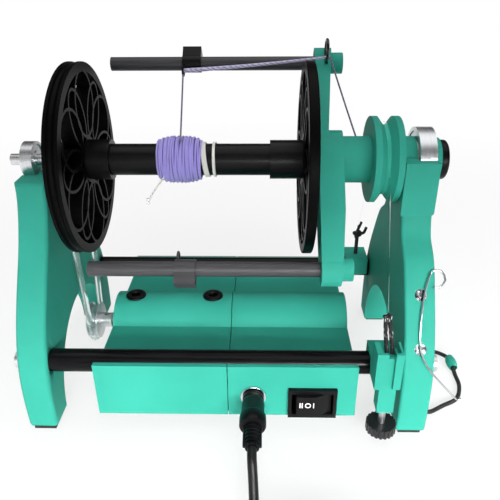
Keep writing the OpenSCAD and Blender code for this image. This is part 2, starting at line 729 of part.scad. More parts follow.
module flyer_hub() color(green) difference() {
    turned([[0, spigot_x], [spigot_r, spigot_x], [spigot_r, bar_x1 + push], [tube_r, bar_x1 + push], [tube_r, bw_x0],
        [brake_r, bw_x0], [brake_r, band_x - groove_half], [groove_r, band_x - 0.8], [groove_r, band_x + 0.8],
        [brake_r, band_x + groove_half], [brake_r, bw_x1], [tube_r, bw_x1], [tube_r, seat_x], [rb_bore - push, seat_x],
        [rb_bore - push, seat_x1], [0, seat_x1]]);
    bar_x(spigot_x - 1, shaft_x1 + push, shaft_r + push, 0, ah);
    bar_x(bore_x, seat_x1 + 1, orifice_r, 0, ah);
    bar_x(seat_x1 - insert_in, seat_x1 + 1, orifice_r + insert_wall + push, 0, ah);
    translate([side_hole_x, 0, ah]) rotate([arm_angle - 90, 0, 0]) cylinder(h = big, r = side_hole_r);
}
module orifice_collar() color(green) tube_x(rb_x + rb_w + 0.1, seat_x1, rb_bore, ring_r);
module orifice_insert() color(black) turned([[orifice_r, seat_x1 - insert_in + 0.1],
    [orifice_r + insert_wall, seat_x1 - insert_in + 0.1], [orifice_r + insert_wall, seat_x1 + push],
    [insert_r, seat_x1 + push], [insert_r, insert_x1 - 0.8], [insert_r - 0.8, insert_x1], [orifice_r, insert_x1]]);
module flyer_arms() color("#3a3a3c") at_arms() difference() {
    bar_x(arm_x0, arm_x1, arm_r, 0, 0);
    bar_x(arm_x0 - 1, arm_x0 + 12, arm_r - 1, 0, 0);
}
module yarn_eye() color(black) torus_x([eye_x, arm_y + eye_at[0], ah + arm_z + eye_at[1]], eye_r, eye_wire);
module hook(x, pig) {
    translate([x, arm_y, ah + arm_z]) difference() {
        union() {
            bar_x(-hook_len / 2, hook_len / 2, hook_r, 0, 0);
            rotate([arm_angle - 90, 0, 0]) block([-hook_len / 2, -hook_lug[0] / 2, 0],
                [hook_len / 2, hook_lug[0] / 2, hook_lug[1]]);
            if (pig) torus_x([-hook_len / 2 + pig_in, pig_at[0], pig_at[1]], pig_r, pig_wire);
        }
        bar_x(-hook_len, hook_len, arm_r + fit, 0, 0);
    }
}
module upper_hook() color(black) hook(hook_x, true);
module lower_hook() color(black) translate([0, 0, ah]) rotate([180, 0, 0]) translate([0, 0, -ah])
    hook(hook_x + lower_shift, true);
eye_point = [eye_x, arm_y + eye_pass[0], ah + arm_z + eye_pass[1]];
pig_point = [hook_x - hook_len / 2 + pig_in, arm_y + pig_at[0], ah + arm_z + pig_at[1]];
lead_end = [side_hole_x, (tube_r - 1) * arm_dir[0], ah + (tube_r - 1) * arm_dir[1]];
drop_s = 0.42;
thread_air = 0.15;
turn_cut = 0.4;
drop_r = core_r + wind_at(0.03 + 0.94 * drop_s) - wind_end + 1 + 3 * wind_r + yarn_r + 0.1;
drop_angle = atan2(pig_point[2] - ah, pig_point[1]);
drop_turn = drop_angle + acos(drop_r / norm([pig_point[1], pig_point[2] - ah]));
drop_end = [wind_x0 + (wind_x1 - wind_x0) * drop_s, drop_r * cos(drop_turn), ah + drop_r * sin(drop_turn)];
eye_out = eye_point + [eye_wire + yarn_r + thread_air, 0, 0];
pig_out = pig_point - [pig_wire + yarn_r + thread_air, 0, 0];
module strand(a, b, cut_a, cut_b) {
    d = unit(b - a);
    link(a + cut_a * d, b - cut_b * d, yarn_r);
}
module yarn_lead() color("#8a7fd8") strand(eye_out, lead_end, turn_cut, 0);
module yarn_run() color("#8a7fd8") strand(eye_out, pig_out, turn_cut, turn_cut);
module yarn_drop() color("#8a7fd8") strand(pig_out, drop_end, turn_cut, 0);
module bearing_outer(x0, w, r, bore, lip) {
    turned([[bore, x0 + shield], [r - lip, x0 + shield], [r - lip, x0], [r, x0], [r, x0 + w], [r - lip, x0 + w],
        [r - lip, x0 + w - shield], [bore, x0 + w - shield]]);
}
module left_bearing_outer() color(steel) bearing_outer(lb_x, lb_w, lb_r, lb_ring + race, 1.2);
module left_bearing_inner() color(steel) tube_x(lb_x, lb_x + lb_w, shaft_r + push, lb_ring);
module right_bearing_outer() color(steel) bearing_outer(rb_x, rb_w, rb_r, rb_ring + race, 1.8);
module right_bearing_inner() color(steel) tube_x(rb_x, rb_x + rb_w, rb_bore, rb_ring);

// Brake
module tension_guide() color(green) {
    difference() {
        block([guide_x0, guide_y0, guide_z0], [guide_x1, guide_y1, guide_z1]);
        bar_x(guide_x0 - 1, guide_x1 + 1, rod_r + fit, -rod_y, rod_z);
        translate([band_x, slider_y, guide_z0]) cube([channel, channel, 4 * big], center = true);
        block([band_x - guide_slot / 2, guide_y0 - 1, guide_z0 - 1], [band_x + guide_slot / 2, slider_y, guide_z1 + 1]);
        block([guide_x0 - 1, slider_y + channel / 2 - eps, rod_z + rod_r + 2], [guide_x1 + 1, guide_y1 + 1, guide_z1 + 1]);
    }
    bar_x(band_x - channel / 2 - 1, band_x + channel / 2 + 0.5, tpin_r, slider_y, tpin_z);
}
module tension_slider() color(green) difference() {
    block([band_x - slider_w / 2, slider_y - slider_w / 2, slider_z0], [band_x + slider_w / 2, slider_y + slider_w / 2,
        slider_z1]);
    block([band_x - big, slider_y - slot_half, tpin_z - slot_half - slider_up],
        [band_x + big, slider_y + slot_half, tpin_z + slot_half + slider_down]);
    translate([band_x, slider_y, slider_z0 - 1]) cylinder(h = tpin_z - slider_z0 + slider_down, r = tscrew_r + fit);
    difference() {
        block([band_x - hitch_slot, slider_y - hitch_slot, hitch_z - hitch_slot],
            [band_x + hitch_slot, slider_y + big, slider_z1 + 1]);
        bar_x(band_x - big, band_x + big, hitch_r, slider_y, hitch_z);
    }
}
module tension_screw() color(steel) translate([band_x, slider_y, knob_z0 + 1])
    cylinder(h = tpin_z - tpin_r - 0.1 - knob_z0 - 1, r = tscrew_r);
module tension_knob() color(black) difference() {
    translate([band_x, slider_y, knob_z0]) cylinder(h = knob_h, r = knob_r);
    translate([band_x, slider_y, knob_z0 + 1 - push]) cylinder(h = knob_h, r = tscrew_r + push);
    for (k = [0:knob_flutes - 1]) translate([band_x + knob_r * cos(360 * k / knob_flutes),
        slider_y + knob_r * sin(360 * k / knob_flutes), knob_z0 - 1]) cylinder(h = knob_h + 2, r = flute_r);
}
module brake_anchor() color(green) difference() {
    block([band_x - anchor_half, rod_y - anchor_y, anchor_z0], [band_x + anchor_half, rod_y + anchor_y, anchor_z1]);
    bar_x(band_x - big, band_x + big, rod_r + fit, rod_y, rod_z);
    translate([band_x, band_rear[0], anchor_z1 - acord_in - 0.1]) cylinder(h = acord_in + 1, r = acord_r + fit);
}
module anchor_cord() color(black) {
    translate([band_x, band_rear[0], anchor_z1 - acord_in]) cylinder(h = knot_z - anchor_z1 + acord_in, r = acord_r);
    translate([band_x, band_rear[0], knot_z]) sphere(knot_r);
    for (s = [-1, 1]) translate([band_x + s, band_rear[0] + 0.5, knot_z]) rotate([12, 22 * s, 0])
        cylinder(h = 9, r = acord_r * 0.8);
}
function band_tangent(p) = let (d = [p[0], p[1] - ah]) acos(band_path_r / norm(d));
module brake_band() color("#d9e2e4") {
    front_angle = 360 + atan2(band_front[1] - ah, band_front[0]) - band_tangent(band_front);
    rear_angle = atan2(band_rear[1] - ah, band_rear[0]) + band_tangent(band_rear);
    arc = [for (i = [0:20]) let (a = front_angle + (rear_angle - front_angle) * i / 20)
        [band_x, band_path_r * cos(a), ah + band_path_r * sin(a)]];
    front = [band_x, band_front[0], band_front[1]];
    rear = [band_x, band_rear[0], band_rear[1] + 0.3];
    tube(concat([front + (bead_r + 0.1) * unit(arc[0] - front)], arc, [rear]), band_r, 8, [1, 0, 0]);
}
module brake_elastic() color(black) {
    top = [band_x, band_front[0], band_front[1]];
    low = [band_x, slider_y, hitch_z];
    d = unit(top - low);
    foot = low + (hitch_r + hitch_air) * d;
    for (m = [-1, 1]) link(foot + [m * hitch_half, 0, 0], top + [m * bead_r / 3, 0, 0], elastic_r);
    translate(top) sphere(bead_r);
}

// Threading hook on the right upright
function face_tilt(z) = atan2(edge_y(right_edge, z + 2) - edge_y(right_edge, z - 2), 4);
module magnet_place(z) {
    translate([mag_x, -edge_y(right_edge, z), z]) rotate([90 + face_tilt(z), 0, 0]) children();
}
module hook_magnets() color(steel) for (z = mag_z) magnet_place(z) translate([0, 0, -mag_t]) cylinder(h = mag_t, r = mag_r);
function face_at(x, z, out) = [x, -edge_y(right_edge, z) - (out + wire_r + wire_gap) / cos(face_tilt(z)), z];
function wire_z(s) = mag_z[0] + s * (s > 0 ? mag_z[1] - mag_z[0] : mag_z[0]);
wire_route = [for (p = wire_shape) face_at(mag_x + p[0], wire_z(p[1]), 0)];
module threading_hook() color(steel) tube(rounded(wire_route, 2), wire_r, 8, [0, 1, 0]);

// Tether loop on the table
tether_path = rounded_loop(tether_route, 4);
module tether_cord() color(black) tube(tether_path, tether_r, 8, [0, 0, 1], true);
module tether_bead() color(green) {
    i = bead_at * 4;
    t = tangent(tether_path, i, true);
    translate(tether_path[i]) rotate([0, acos(t[2]), atan2(t[1], t[0])]) rotate_extrude()
        polygon(concat([for (k = [-6:6]) [tether_r + bead_air + bead_wall * cos(k * 15) + 0.15, bead_len / 2 * k / 6]],
        [[tether_r + bead_air, bead_len / 2], [tether_r + bead_air, -bead_len / 2]]));
}

// Power lead
module dc_plug() color(black) translate([jack_x, plug_y0, jack_z]) rotate([90, 0, 0]) {
    translate([0, 0, -jack_depth]) cylinder(h = jack_depth + eps, r = jack_pin - fit);
    rotate_extrude() polygon(concat([[0, 0], [plug_r, 0], [plug_r, plug_len], [plug_collar_r, plug_len],
        [plug_collar_r, plug_len + plug_collar]],
        [for (k = [0:relief_ribs - 1]) for (p = [[0, 0], [0, 0.6], [-0.7, 0.6], [-0.7, 1]])
            let (s = (k + p[1]) / relief_ribs)
            [relief_r + p[0] - 0.9 * k / relief_ribs, plug_len + plug_collar + relief_len * s]],
        [[0, plug_len + plug_collar + relief_len]]));
}
lead_path = rounded(lead_route, 6);
module power_cord() color(black) tube(lead_path, cord_r, 8, [1, 0, 0]);
function coil_wave(t) = let (u = t / coil_per_layer, k = floor(u), f = u - k) k % 2 == 0 ? f : 1 - f;
function coil_rise(t) = let (u = t / coil_per_layer, k = max(1, min(coil_layers - 1, round(u))),
    d = t - k * coil_per_layer) (k - 1) + min(1, max(0, 0.5 + d / 0.5));
function coil_at(t) = let (r = coil_out - coil_pitch * coil_per_layer * coil_wave(t), a = 180 + 360 * t)
    [coil_x + r * cos(a), coil_y + r * sin(a), coil_lift + coil_pitch * coil_rise(t)];
coil_tail = [for (k = [1:3]) coil_at(coil_turns - eps) + [k * adapter_gap / 3, 0, 0]];
coil_path = concat([for (i = [0:coil_turns * coil_rings - 1]) coil_at(i / coil_rings)], coil_tail);
module cord_coil() color(black) tube(coil_path, cord_r, 6, [0, 0, 1]);
module coil_tie() color(black) {
    lo = coil_x + coil_out - coil_pitch * (coil_per_layer + 0.5) - cord_r - 0.4;
    hi = coil_x + coil_out + cord_r + 0.4;
    top = coil_lift + (coil_layers - 1) * coil_pitch + cord_r + 0.4;
    difference() {
        block([lo - tie_t, coil_y - 2.5, 0], [hi + tie_t, coil_y + 2.5, top + tie_t]);
        block([lo, coil_y - 5, tie_t], [hi, coil_y + 5, top]);
    }
}
module adapter() color(black) {
    e = coil_path[len(coil_path) - 1];
    x0 = e[0] + 8;
    block([x0, e[1] - adapter_size[1] / 2, 0], [x0 + adapter_size[0], e[1] + adapter_size[1] / 2, adapter_size[2]]);
    translate([e[0] + 0.1, e[1], e[2]]) rotate([0, 90, 0]) cylinder(h = 8, r1 = cord_r + 1, r2 = cord_r + 2.2);
    for (s = [-1, 1]) block([x0 + adapter_size[0] - eps, e[1] + s * 6.35 - 0.75, adapter_size[2] / 2 - 3.2],
        [x0 + adapter_size[0] + 17, e[1] + s * 6.35 + 0.75, adapter_size[2] / 2 + 3.2]);
}

echo(winding_gap = self_gap(wind_path, wind_rings, wind_r));
echo(coil_gap = self_gap(coil_path, coil_rings, cord_r));

left_upright();
right_upright();
rubber_feet();
cross_rods();
rod_screws();
housing_left();
housing_right();
housing_floor();
cover_grommets();
floor_screws();
motor_can();
control_board();
dc_jack();
dc_jack_nut();
switch_body();
switch_rocker();
tension_guide();
tension_slider();
tension_knob();
tension_screw();
brake_anchor();
anchor_cord();
brake_band();
brake_elastic();
drive_belt();
motor_shaft();
motor_pulley();
bobbin_core();
left_disc();
right_disc();
bobbin_whorl();
bobbin_bushes();
yarn_core();
yarn_winding();
flyer_shaft();
crosspiece();
flyer_hub();
orifice_collar();
orifice_insert();
flyer_arms();
yarn_eye();
upper_hook();
lower_hook();
yarn_lead();
yarn_run();
yarn_drop();
left_bearing_outer();
left_bearing_inner();
right_bearing_outer();
right_bearing_inner();
threading_hook();
hook_magnets();
tether_cord();
tether_bead();
power_cord();
cord_coil();
coil_tie();
dc_plug();
adapter();
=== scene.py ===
# %% [markdown]
# # A table-top electric spinning wheel
# The machine twists wool into thread and winds it: a bobbin and a two-armed flyer turn on one spindle between two
# arched uprights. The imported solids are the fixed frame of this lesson. Every piece made here uses the same metres
# and axes, so it lands on its seat without fitting: X runs along the spindle, Y to the back and Z up.

# %% Load the frame
import json
import math
import random

import bmesh
import bpy
from mathutils import Matrix, Vector


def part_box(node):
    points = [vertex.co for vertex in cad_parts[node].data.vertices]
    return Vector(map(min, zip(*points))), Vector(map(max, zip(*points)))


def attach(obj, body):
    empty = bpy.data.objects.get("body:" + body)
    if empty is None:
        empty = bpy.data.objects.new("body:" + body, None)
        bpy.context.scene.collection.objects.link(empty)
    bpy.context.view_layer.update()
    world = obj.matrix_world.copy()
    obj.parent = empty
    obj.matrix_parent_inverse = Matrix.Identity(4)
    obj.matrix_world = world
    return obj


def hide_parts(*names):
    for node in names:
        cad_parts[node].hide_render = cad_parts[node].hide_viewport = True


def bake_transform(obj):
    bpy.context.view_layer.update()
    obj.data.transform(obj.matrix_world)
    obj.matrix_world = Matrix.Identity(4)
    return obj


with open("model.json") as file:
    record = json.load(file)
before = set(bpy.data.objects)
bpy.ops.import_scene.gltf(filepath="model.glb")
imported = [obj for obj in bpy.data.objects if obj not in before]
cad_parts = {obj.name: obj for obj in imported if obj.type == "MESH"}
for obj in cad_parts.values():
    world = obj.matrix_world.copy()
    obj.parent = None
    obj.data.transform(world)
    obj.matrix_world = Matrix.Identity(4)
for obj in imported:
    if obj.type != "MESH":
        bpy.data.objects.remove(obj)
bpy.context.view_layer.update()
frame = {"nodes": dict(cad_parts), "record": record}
nodes = frame["nodes"]
record = frame["record"]
body_of = {n: b for b, members in record["behaviour"]["bodies"].items() for n in members}
slot_of = {s["node"]: s["material_slot"] for s in record["subparts"]}
MM = 0.001

# %% [markdown]
# ## Camera
# The picture was taken from the front, a little above the bobbin. A camera can be set by eye, but here its place,
# turn and focal length were solved from the rods, discs and feet, so they are written as numbers. The focal length
# is known in pixels of a 500 pixel picture, and the lens is that share of the sensor's width.

# %% Camera
PICTURE_PX, FOCAL_PX = 500, 562.78
CAMERA_AT = Vector((16.39, -236.56, 189.70)) * MM
pitch, yaw, roll = (math.radians(angle) for angle in (27.54, -1.48, 0.46))
look = Vector((math.sin(yaw) * math.cos(pitch), math.cos(yaw) * math.cos(pitch), -math.sin(pitch)))
level = Vector((math.cos(yaw), -math.sin(yaw), 0))
down = look.cross(level)
right = level * math.cos(roll) + down * math.sin(roll)
up = level * math.sin(roll) - down * math.cos(roll)
camera_data = bpy.data.cameras.new("camera")
camera_data.sensor_fit = "HORIZONTAL"
camera_data.lens = camera_data.sensor_width * FOCAL_PX / PICTURE_PX
camera_data.clip_start, camera_data.clip_end = 0.01, 30
camera = bpy.data.objects.new("camera", camera_data)
bpy.context.scene.collection.objects.link(camera)
camera.matrix_world = Matrix.Translation(CAMERA_AT) @ Matrix((right, up, -look)).transposed().to_4x4()
bpy.context.scene.camera = camera
print("lens", round(camera_data.lens, 2), "mm")

# %% [markdown]
# ## A strand of any kind
# Cord, thread, wire and belt are all round strands along a line. A bevelled curve is Blender's own tool for that. It
# is turned into a mesh here, so that its UV map can be stretched to real millimetres along and round the strand: a
# twist or a braid then keeps its size, whatever the strand's length.

# %% Strand helpers
def eased(points, steps, loop=False):
    """More points on a smooth line through the given ones."""
    points = [Vector(p) for p in points]
    count = len(points)

    def at(i):
        return points[i % count if loop else max(0, min(i, count - 1))]

    line = []
    for i in range(count if loop else count - 1):
        a, b, c, d = (at(i + k) for k in (-1, 0, 1, 2))
        for k in range(steps):
            t = k / steps
            line.append(0.5 * (2 * b + (c - a) * t + (2 * a - 5 * b + 4 * c - d) * t ** 2
                               + (3 * b - a - 3 * c + d) * t ** 3))
    return line if loop else line + [points[-1]]


def run_of(points):
    """The length of the line through the points."""
    return sum((b - a).length for a, b in zip(points, points[1:]))


def show(name, mesh, finish=None):
    """A new object at the origin with that mesh, shaded smooth."""
    piece = bpy.data.objects.new(name, mesh)
    bpy.context.scene.collection.objects.link(piece)
    mesh.polygons.foreach_set("use_smooth", [True] * len(mesh.polygons))
    if finish:
        mesh.materials.clear()
        mesh.materials.append(finish)
    return piece


def strand(name, points, thickness, finish=None, loop=False, roundness=3, taper=1.0):
    """A round strand along points in metres, tapered to a share of its thickness. Its UV map is in millimetres."""
    curve = bpy.data.curves.new(name, "CURVE")
    curve.dimensions = "3D"
    curve.bevel_depth, curve.bevel_resolution = thickness / 2, roundness
    curve.use_fill_caps = not loop
    line = curve.splines.new("POLY")
    line.points.add(len(points) - 1)
    for i, (place, point) in enumerate(zip(line.points, points)):
        place.co = (*point, 1)
        place.radius = 1 + (taper - 1) * i / (len(points) - 1)
    line.use_cyclic_u = loop
    rough = bpy.data.objects.new(name, curve)
    bpy.context.scene.collection.objects.link(rough)
    bpy.context.view_layer.update()
    mesh = bpy.data.meshes.new_from_object(rough.evaluated_get(bpy.context.evaluated_depsgraph_get()))
    bpy.data.objects.remove(rough)
    mesh.name = name
    length = run_of([Vector(p) for p in points]) / MM
    print(name, len(mesh.polygons), "faces, uv maps", [layer.name for layer in mesh.uv_layers])
    if mesh.uv_layers:
        for corner in mesh.uv_layers[0].data:
            corner.uv = (corner.uv[0] * length, corner.uv[1] * math.pi * thickness / MM)
    return show(name, mesh, finish)


def stands_for(piece, *replaced):
    """The piece rides where its node does and takes its place."""
    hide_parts(*replaced)
    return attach(piece, body_of[replaced[0]])


def metres(points):
    """Points in millimetres, turned to the frame's metres."""
    return [Vector(p) * MM for p in points]


print("100 mm of cord is", round(run_of(metres([(0, 0, 0), (100, 0, 0)])), 3), "m")

# %% [markdown]
# ## Power cord
# A thin low-voltage lead hangs from the plug, meets the floor and runs out of the picture. Its spare length lies
# in a round coil tied for storage, with the wall adapter at its end. One line makes all of it: a lead through listed
# points, then a flat spiral that runs in and out in four layers, a little over one cord thickness apart.

# %% Power cord
CORD_MM, CORD_GAP = 3.8, 0.55
COIL_PITCH, COIL_TURNS, COIL_LAYERS = CORD_MM + CORD_GAP, 9.25, 4
LAYER_TURNS = COIL_TURNS / COIL_LAYERS
COIL_MEAN_R, CLIMB_TURNS = 21, 0.5
COIL_OUT = COIL_MEAN_R + COIL_PITCH * LAYER_TURNS / 2
LEAD_X, COIL_Y, COIL_LIFT = 15, -138, 3.1
COIL_X = LEAD_X + COIL_OUT
COIL_STEPS, LINE_STEPS = 48, 6


def coil_at(turn):
    """The middle of the cord, in millimetres, after that many turns of its coil."""
    layer = min(int(turn / LAYER_TURNS), COIL_LAYERS - 1)
    part = turn / LAYER_TURNS - layer
    inward = part if layer % 2 == 0 else 1 - part
    step = max(1, min(COIL_LAYERS - 1, round(turn / LAYER_TURNS)))
    rise = step - 1 + min(1, max(0, 0.5 + (turn - step * LAYER_TURNS) / CLIMB_TURNS))
    radius, angle = COIL_OUT - COIL_PITCH * LAYER_TURNS * inward, math.pi * (1 + 2 * turn)
    return (COIL_X + radius * math.cos(angle), COIL_Y + radius * math.sin(angle), COIL_LIFT + COIL_PITCH * rise)


lead = [(12.5, -79.1, 21), (12.5, -83, 20), (13, -88, 14), (13.5, -94, 7), (14, -102, 3.2)]
lead += [(LEAD_X, y, COIL_LIFT) for y in (-112, -124, -134, -137.9)]
coil_end = Vector(coil_at(COIL_TURNS - 0.01))
cord_line = eased(metres(lead), LINE_STEPS) + metres(
    [coil_at(i / COIL_STEPS) for i in range(1, int(COIL_TURNS * COIL_STEPS))]
    + [coil_end + Vector((x, 0, 0)) for x in (7, 14, 20, 28, 36)])
power_cord = strand("power_cord_run", cord_line, CORD_MM * MM)
stands_for(power_cord, "power_cord", "cord_coil")

# %% [markdown]
# ## Tether
# A loop of braided cord comes out of a hole in the right leg, lies on the floor and goes back into the hole from the
# other side. An oval bead runs on it, which is one of the solids. A few points carry the line, and the spline through
# them keeps every bend soft.

# %% Tether
LEG_OUT, LEG_IN, TETHER_MM = 88.5, 75.5, 2.0
outside = ((-2, -42, 6), (1.5, -42, 6), (6, -38, 2), (13, -33, 1), (21, -28, 1), (25, -19, 1), (25.5, -10, 1),
           (25.5, -3, 2.6), (25, 3, 1.6), (20, 8, 1), (11, 10, 1), (3, 6, 1))
inside = ((6, -4, 1), (1, -16, 1), (-3, -28, 1), (-4.5, -36, 2), (-1.5, -42, 6), (2, -42, 6))
tether_line = eased(metres([(LEG_OUT + x, y, z) for x, y, z in outside]
                           + [(LEG_IN + x, y, z) for x, y, z in inside]), LINE_STEPS)
tether = strand("tether_loop", tether_line, TETHER_MM * MM)
stands_for(tether, "tether_cord")
print("tether", round(run_of(tether_line), 3), "m")

# %% [markdown]
# ## Nodes of a material
# A material or a world is a tree of nodes. They can be joined by hand in the editor, but a script shows every setting,
# so one small function adds each node with its settings and links. Colours are written as the hex codes that a screen
# uses, and a second function turns them into the linear light that shaders work with.

# %% Node helpers
def linear(code):
    """An sRGB hex colour as linear numbers with full alpha."""
    parts = [int(code[i:i + 2], 16) / 255 for i in (1, 3, 5)]
    return (*[p / 12.92 if p <= 0.04045 else ((p + 0.055) / 1.055) ** 2.4 for p in parts], 1)


def add(tree, kind, inputs=None, **settings):
    """Adds one node. An input given as a socket is linked, and any other value is written on it."""
    made = tree.nodes.new(kind)
    for name, value in settings.items():
        setattr(made, name, value)
    for name, value in (inputs or {}).items():
        if isinstance(value, bpy.types.NodeSocket):
            tree.links.new(value, made.inputs[name])
        else:
            made.inputs[name].default_value = value
    return made


def seen_directly(tree, share):
    """A share for rays that come from the lens, a mirror or glass, and none for scattered light."""
    path = add(tree, "ShaderNodeLightPath")
    first = add(tree, "ShaderNodeMath", {0: path.outputs["Is Camera Ray"], 1: path.outputs["Is Glossy Ray"]},
                operation="MAXIMUM")
    both = add(tree, "ShaderNodeMath", {0: first.outputs[0], 1: path.outputs["Is Transmission Ray"]},
               operation="MAXIMUM")
    return add(tree, "ShaderNodeMath", {0: both.outputs[0], 1: share}, operation="MULTIPLY").outputs[0]


print("mid grey is", round(linear("#808080")[0], 3), "in linear light")

# %% [markdown]
# ## Floor
# The wheel stands on a plain white floor. A pure white ground could be made by over-lighting, but then the plastic
# would wash out. So the floor's colour is mixed with a white glow that only the lens, mirrors and glass can see. The
# glow is weaker close to the wheel, where the floor has to show its shadow.

# %% Floor
FLOOR_HALF, NEAR_GLOW, NEAR, FAR = 6.0, 0.7, 0.12, 0.5


def mesh_of(bm, name):
    """The bmesh as a new mesh. The bmesh itself is freed."""
    mesh = bpy.data.meshes.new(name)
    bm.to_mesh(mesh)
    bm.free()
    return mesh


bm = bmesh.new()
bmesh.ops.create_grid(bm, x_segments=1, y_segments=1, size=FLOOR_HALF)
floor_white = bpy.data.materials.new("white_laminate")
floor_white.use_nodes = True
tree = floor_white.node_tree
tree.nodes.clear()
ground = add(tree, "ShaderNodeBsdfDiffuse", {"Color": linear("#f4f4f4")})
glow = add(tree, "ShaderNodeEmission", {"Color": (1, 1, 1, 1), "Strength": 1.0})
away = add(tree, "ShaderNodeVectorMath", {0: add(tree, "ShaderNodeTexCoord").outputs["Object"]}, operation="LENGTH")
fade = add(tree, "ShaderNodeMapRange", {"Value": away.outputs["Value"], "From Min": NEAR, "From Max": FAR,
                                        "To Min": NEAR_GLOW, "To Max": 1.0}).outputs["Result"]
mixed = add(tree, "ShaderNodeMixShader",
            {0: seen_directly(tree, fade), 1: ground.outputs[0], 2: glow.outputs[0]})
add(tree, "ShaderNodeOutputMaterial", {"Surface": mixed.outputs[0]})
floor = show("floor", mesh_of(bm, "floor"), floor_white)
print("floor", 2 * FLOOR_HALF, "m wide")

# %% [markdown]
# ## World
# An even white world would do for matt things. Here the shiny pieces see a white room up to eye level and a dim
# ceiling above it, which keeps black plastic black. Scattered light has a strength of its own, so that a colour looks
# as written.

# %% World
ROOM_LIGHT, CEILING, CEILING_FROM = 0.33, 0.06, 0.2
world = bpy.data.worlds.new("white_room")
world.use_nodes = True
tree = world.node_tree
tree.nodes.clear()
scattered = add(tree, "ShaderNodeBackground", {"Color": (1, 1, 1, 1), "Strength": ROOM_LIGHT})
height = add(tree, "ShaderNodeSeparateXYZ", {0: add(tree, "ShaderNodeTexCoord").outputs["Generated"]}).outputs["Z"]
ceiling = add(tree, "ShaderNodeMapRange", {"Value": height, "From Min": 0.0, "From Max": CEILING_FROM, "To Min": 1.0,
                                           "To Max": CEILING}).outputs["Result"]
path = add(tree, "ShaderNodeLightPath")
ahead = add(tree, "ShaderNodeMath", {0: path.outputs["Is Camera Ray"], 1: path.outputs["Is Transmission Ray"]},
            operation="MAXIMUM").outputs[0]
level_seen = add(tree, "ShaderNodeMath", {0: ahead, 1: ceiling}, operation="MAXIMUM").outputs[0]
white = add(tree, "ShaderNodeBackground", {"Color": (1, 1, 1, 1), "Strength": level_seen})
mixed = add(tree, "ShaderNodeMixShader",
            {0: seen_directly(tree, 1.0), 1: scattered.outputs[0], 2: white.outputs[0]})
add(tree, "ShaderNodeOutputWorld", {"Surface": mixed.outputs[0]})
bpy.context.scene.world = world
bpy.context.scene.view_settings.view_transform = "Standard"
print(world.name, "gives", ROOM_LIGHT, "of full light")

# %% [markdown]
# ## Lamps
# Three area lamps do the work of a photographer's softboxes: a large one in front, a low panel that lifts the faces
# near the floor and a wide one above. A sun or a point lamp would give hard shadows. The lens doesn't see the lamps.

# %% Lamps
def lamp(name, place, aim, size, watts, spread=180):
    """An area lamp at a place in metres, turned to its aim."""
    data = bpy.data.lights.new(name, "AREA")
    data.shape, data.size, data.size_y, data.energy = "RECTANGLE", size[0], size[1], watts
    data.spread = math.radians(spread)
    made = bpy.data.objects.new(name, data)
    bpy.context.scene.collection.objects.link(made)
    made.matrix_world = (Matrix.Translation(Vector(place))
                         @ (Vector(aim) - Vector(place)).to_track_quat("-Z", "Y").to_matrix().to_4x4())
    made.visible_camera = False


lamp("front_softbox", (-0.25, -1.1, 0.75), (0, 0, 0.08), (1.2, 0.8), 1.5)
lamp("low_front_panel", (0.13, -0.36, 0.13), (0.06, -0.06, -0.01), (0.6, 0.08), 0.62, 55)
lamp("top_softbox", (0.1, 0.1, 1.3), (0, 0, 0.1), (1.4, 1.4), 8)

# %% [markdown]
# ## Finishes
# Each finish starts from a real material and how its surface was made. One Principled shader does each of them. A
# number that is the same all over is written on the shader itself. What varies, such as mould grain or a twist, is
# a pattern whose scale comes from a size in millimetres, and it drives colour, roughness and a small bump.

# %% Finish helpers
MIDDLE = (0.3, 0.7)


def new_finish(name, colour, roughness, **sockets):
    """A material with one Principled shader. Sockets are written with underscores for spaces."""
    material = bpy.data.materials.new(name)
    material.use_nodes = True
    shader = material.node_tree.nodes["Principled BSDF"]
    shader.inputs["Base Color"].default_value = linear(colour)
    shader.inputs["Roughness"].default_value = roughness
    for socket, value in sockets.items():
        shader.inputs[socket.replace("_", " ")].default_value = value
    return material


def drive(material, pattern, tint=None, gloss=None, bump=None):
    """A pattern from 0 to 1 drives a finish: tint and gloss from low to high, bump by a height and a strength.

    Tint may also say between which values of the pattern its two colours lie.
    """
    tree = material.node_tree
    sockets = tree.nodes["Principled BSDF"].inputs
    if tint:
        low, high, dark, pale = (*tint, *MIDDLE)[:4]
        ramp = add(tree, "ShaderNodeValToRGB", {"Fac": pattern})
        for stop, place, code in zip(ramp.color_ramp.elements, (dark, pale), (low, high)):
            stop.position, stop.color = place, linear(code)
        tree.links.new(ramp.outputs["Color"], sockets["Base Color"])
    if gloss:
        spread = add(tree, "ShaderNodeMapRange", {"Value": pattern, "From Min": MIDDLE[0], "From Max": MIDDLE[1],
                                                  "To Min": gloss[0], "To Max": gloss[1]})
        tree.links.new(spread.outputs["Result"], sockets["Roughness"])
    if bump:
        rise = add(tree, "ShaderNodeBump", {"Height": pattern, "Distance": bump[0] * MM, "Strength": bump[1]})
        tree.links.new(rise.outputs["Normal"], sockets["Normal"])
    return material


def per_metre(size_mm):
    """The scale of a pattern on coordinates in metres whose grain has that size."""
    return 1 / (size_mm * MM)


def mottled(material, grain_mm, detail, stretch=None, lean=0, on_strand=False, **driven):
    """Drives a finish by a mottle of that grain, in the solid or, on a strand, on its UV map in millimetres."""
    tree = material.node_tree
    if on_strand:
        place, scale = add(tree, "ShaderNodeUVMap").outputs["UV"], 1 / grain_mm
    else:
        place, scale = add(tree, "ShaderNodeTexCoord").outputs["Object"], per_metre(grain_mm)
    if stretch:
        place = add(tree, "ShaderNodeMapping", {"Vector": place, "Rotation": (0, 0, math.radians(lean)),
                                                "Scale": stretch}).outputs["Vector"]
    mottle = add(tree, "ShaderNodeTexNoise", {"Vector": place, "Scale": scale, "Detail": detail}).outputs["Fac"]
    return drive(material, mottle, **driven)


print("a grain of 0.5 mm has a scale of", round(per_metre(0.5)))

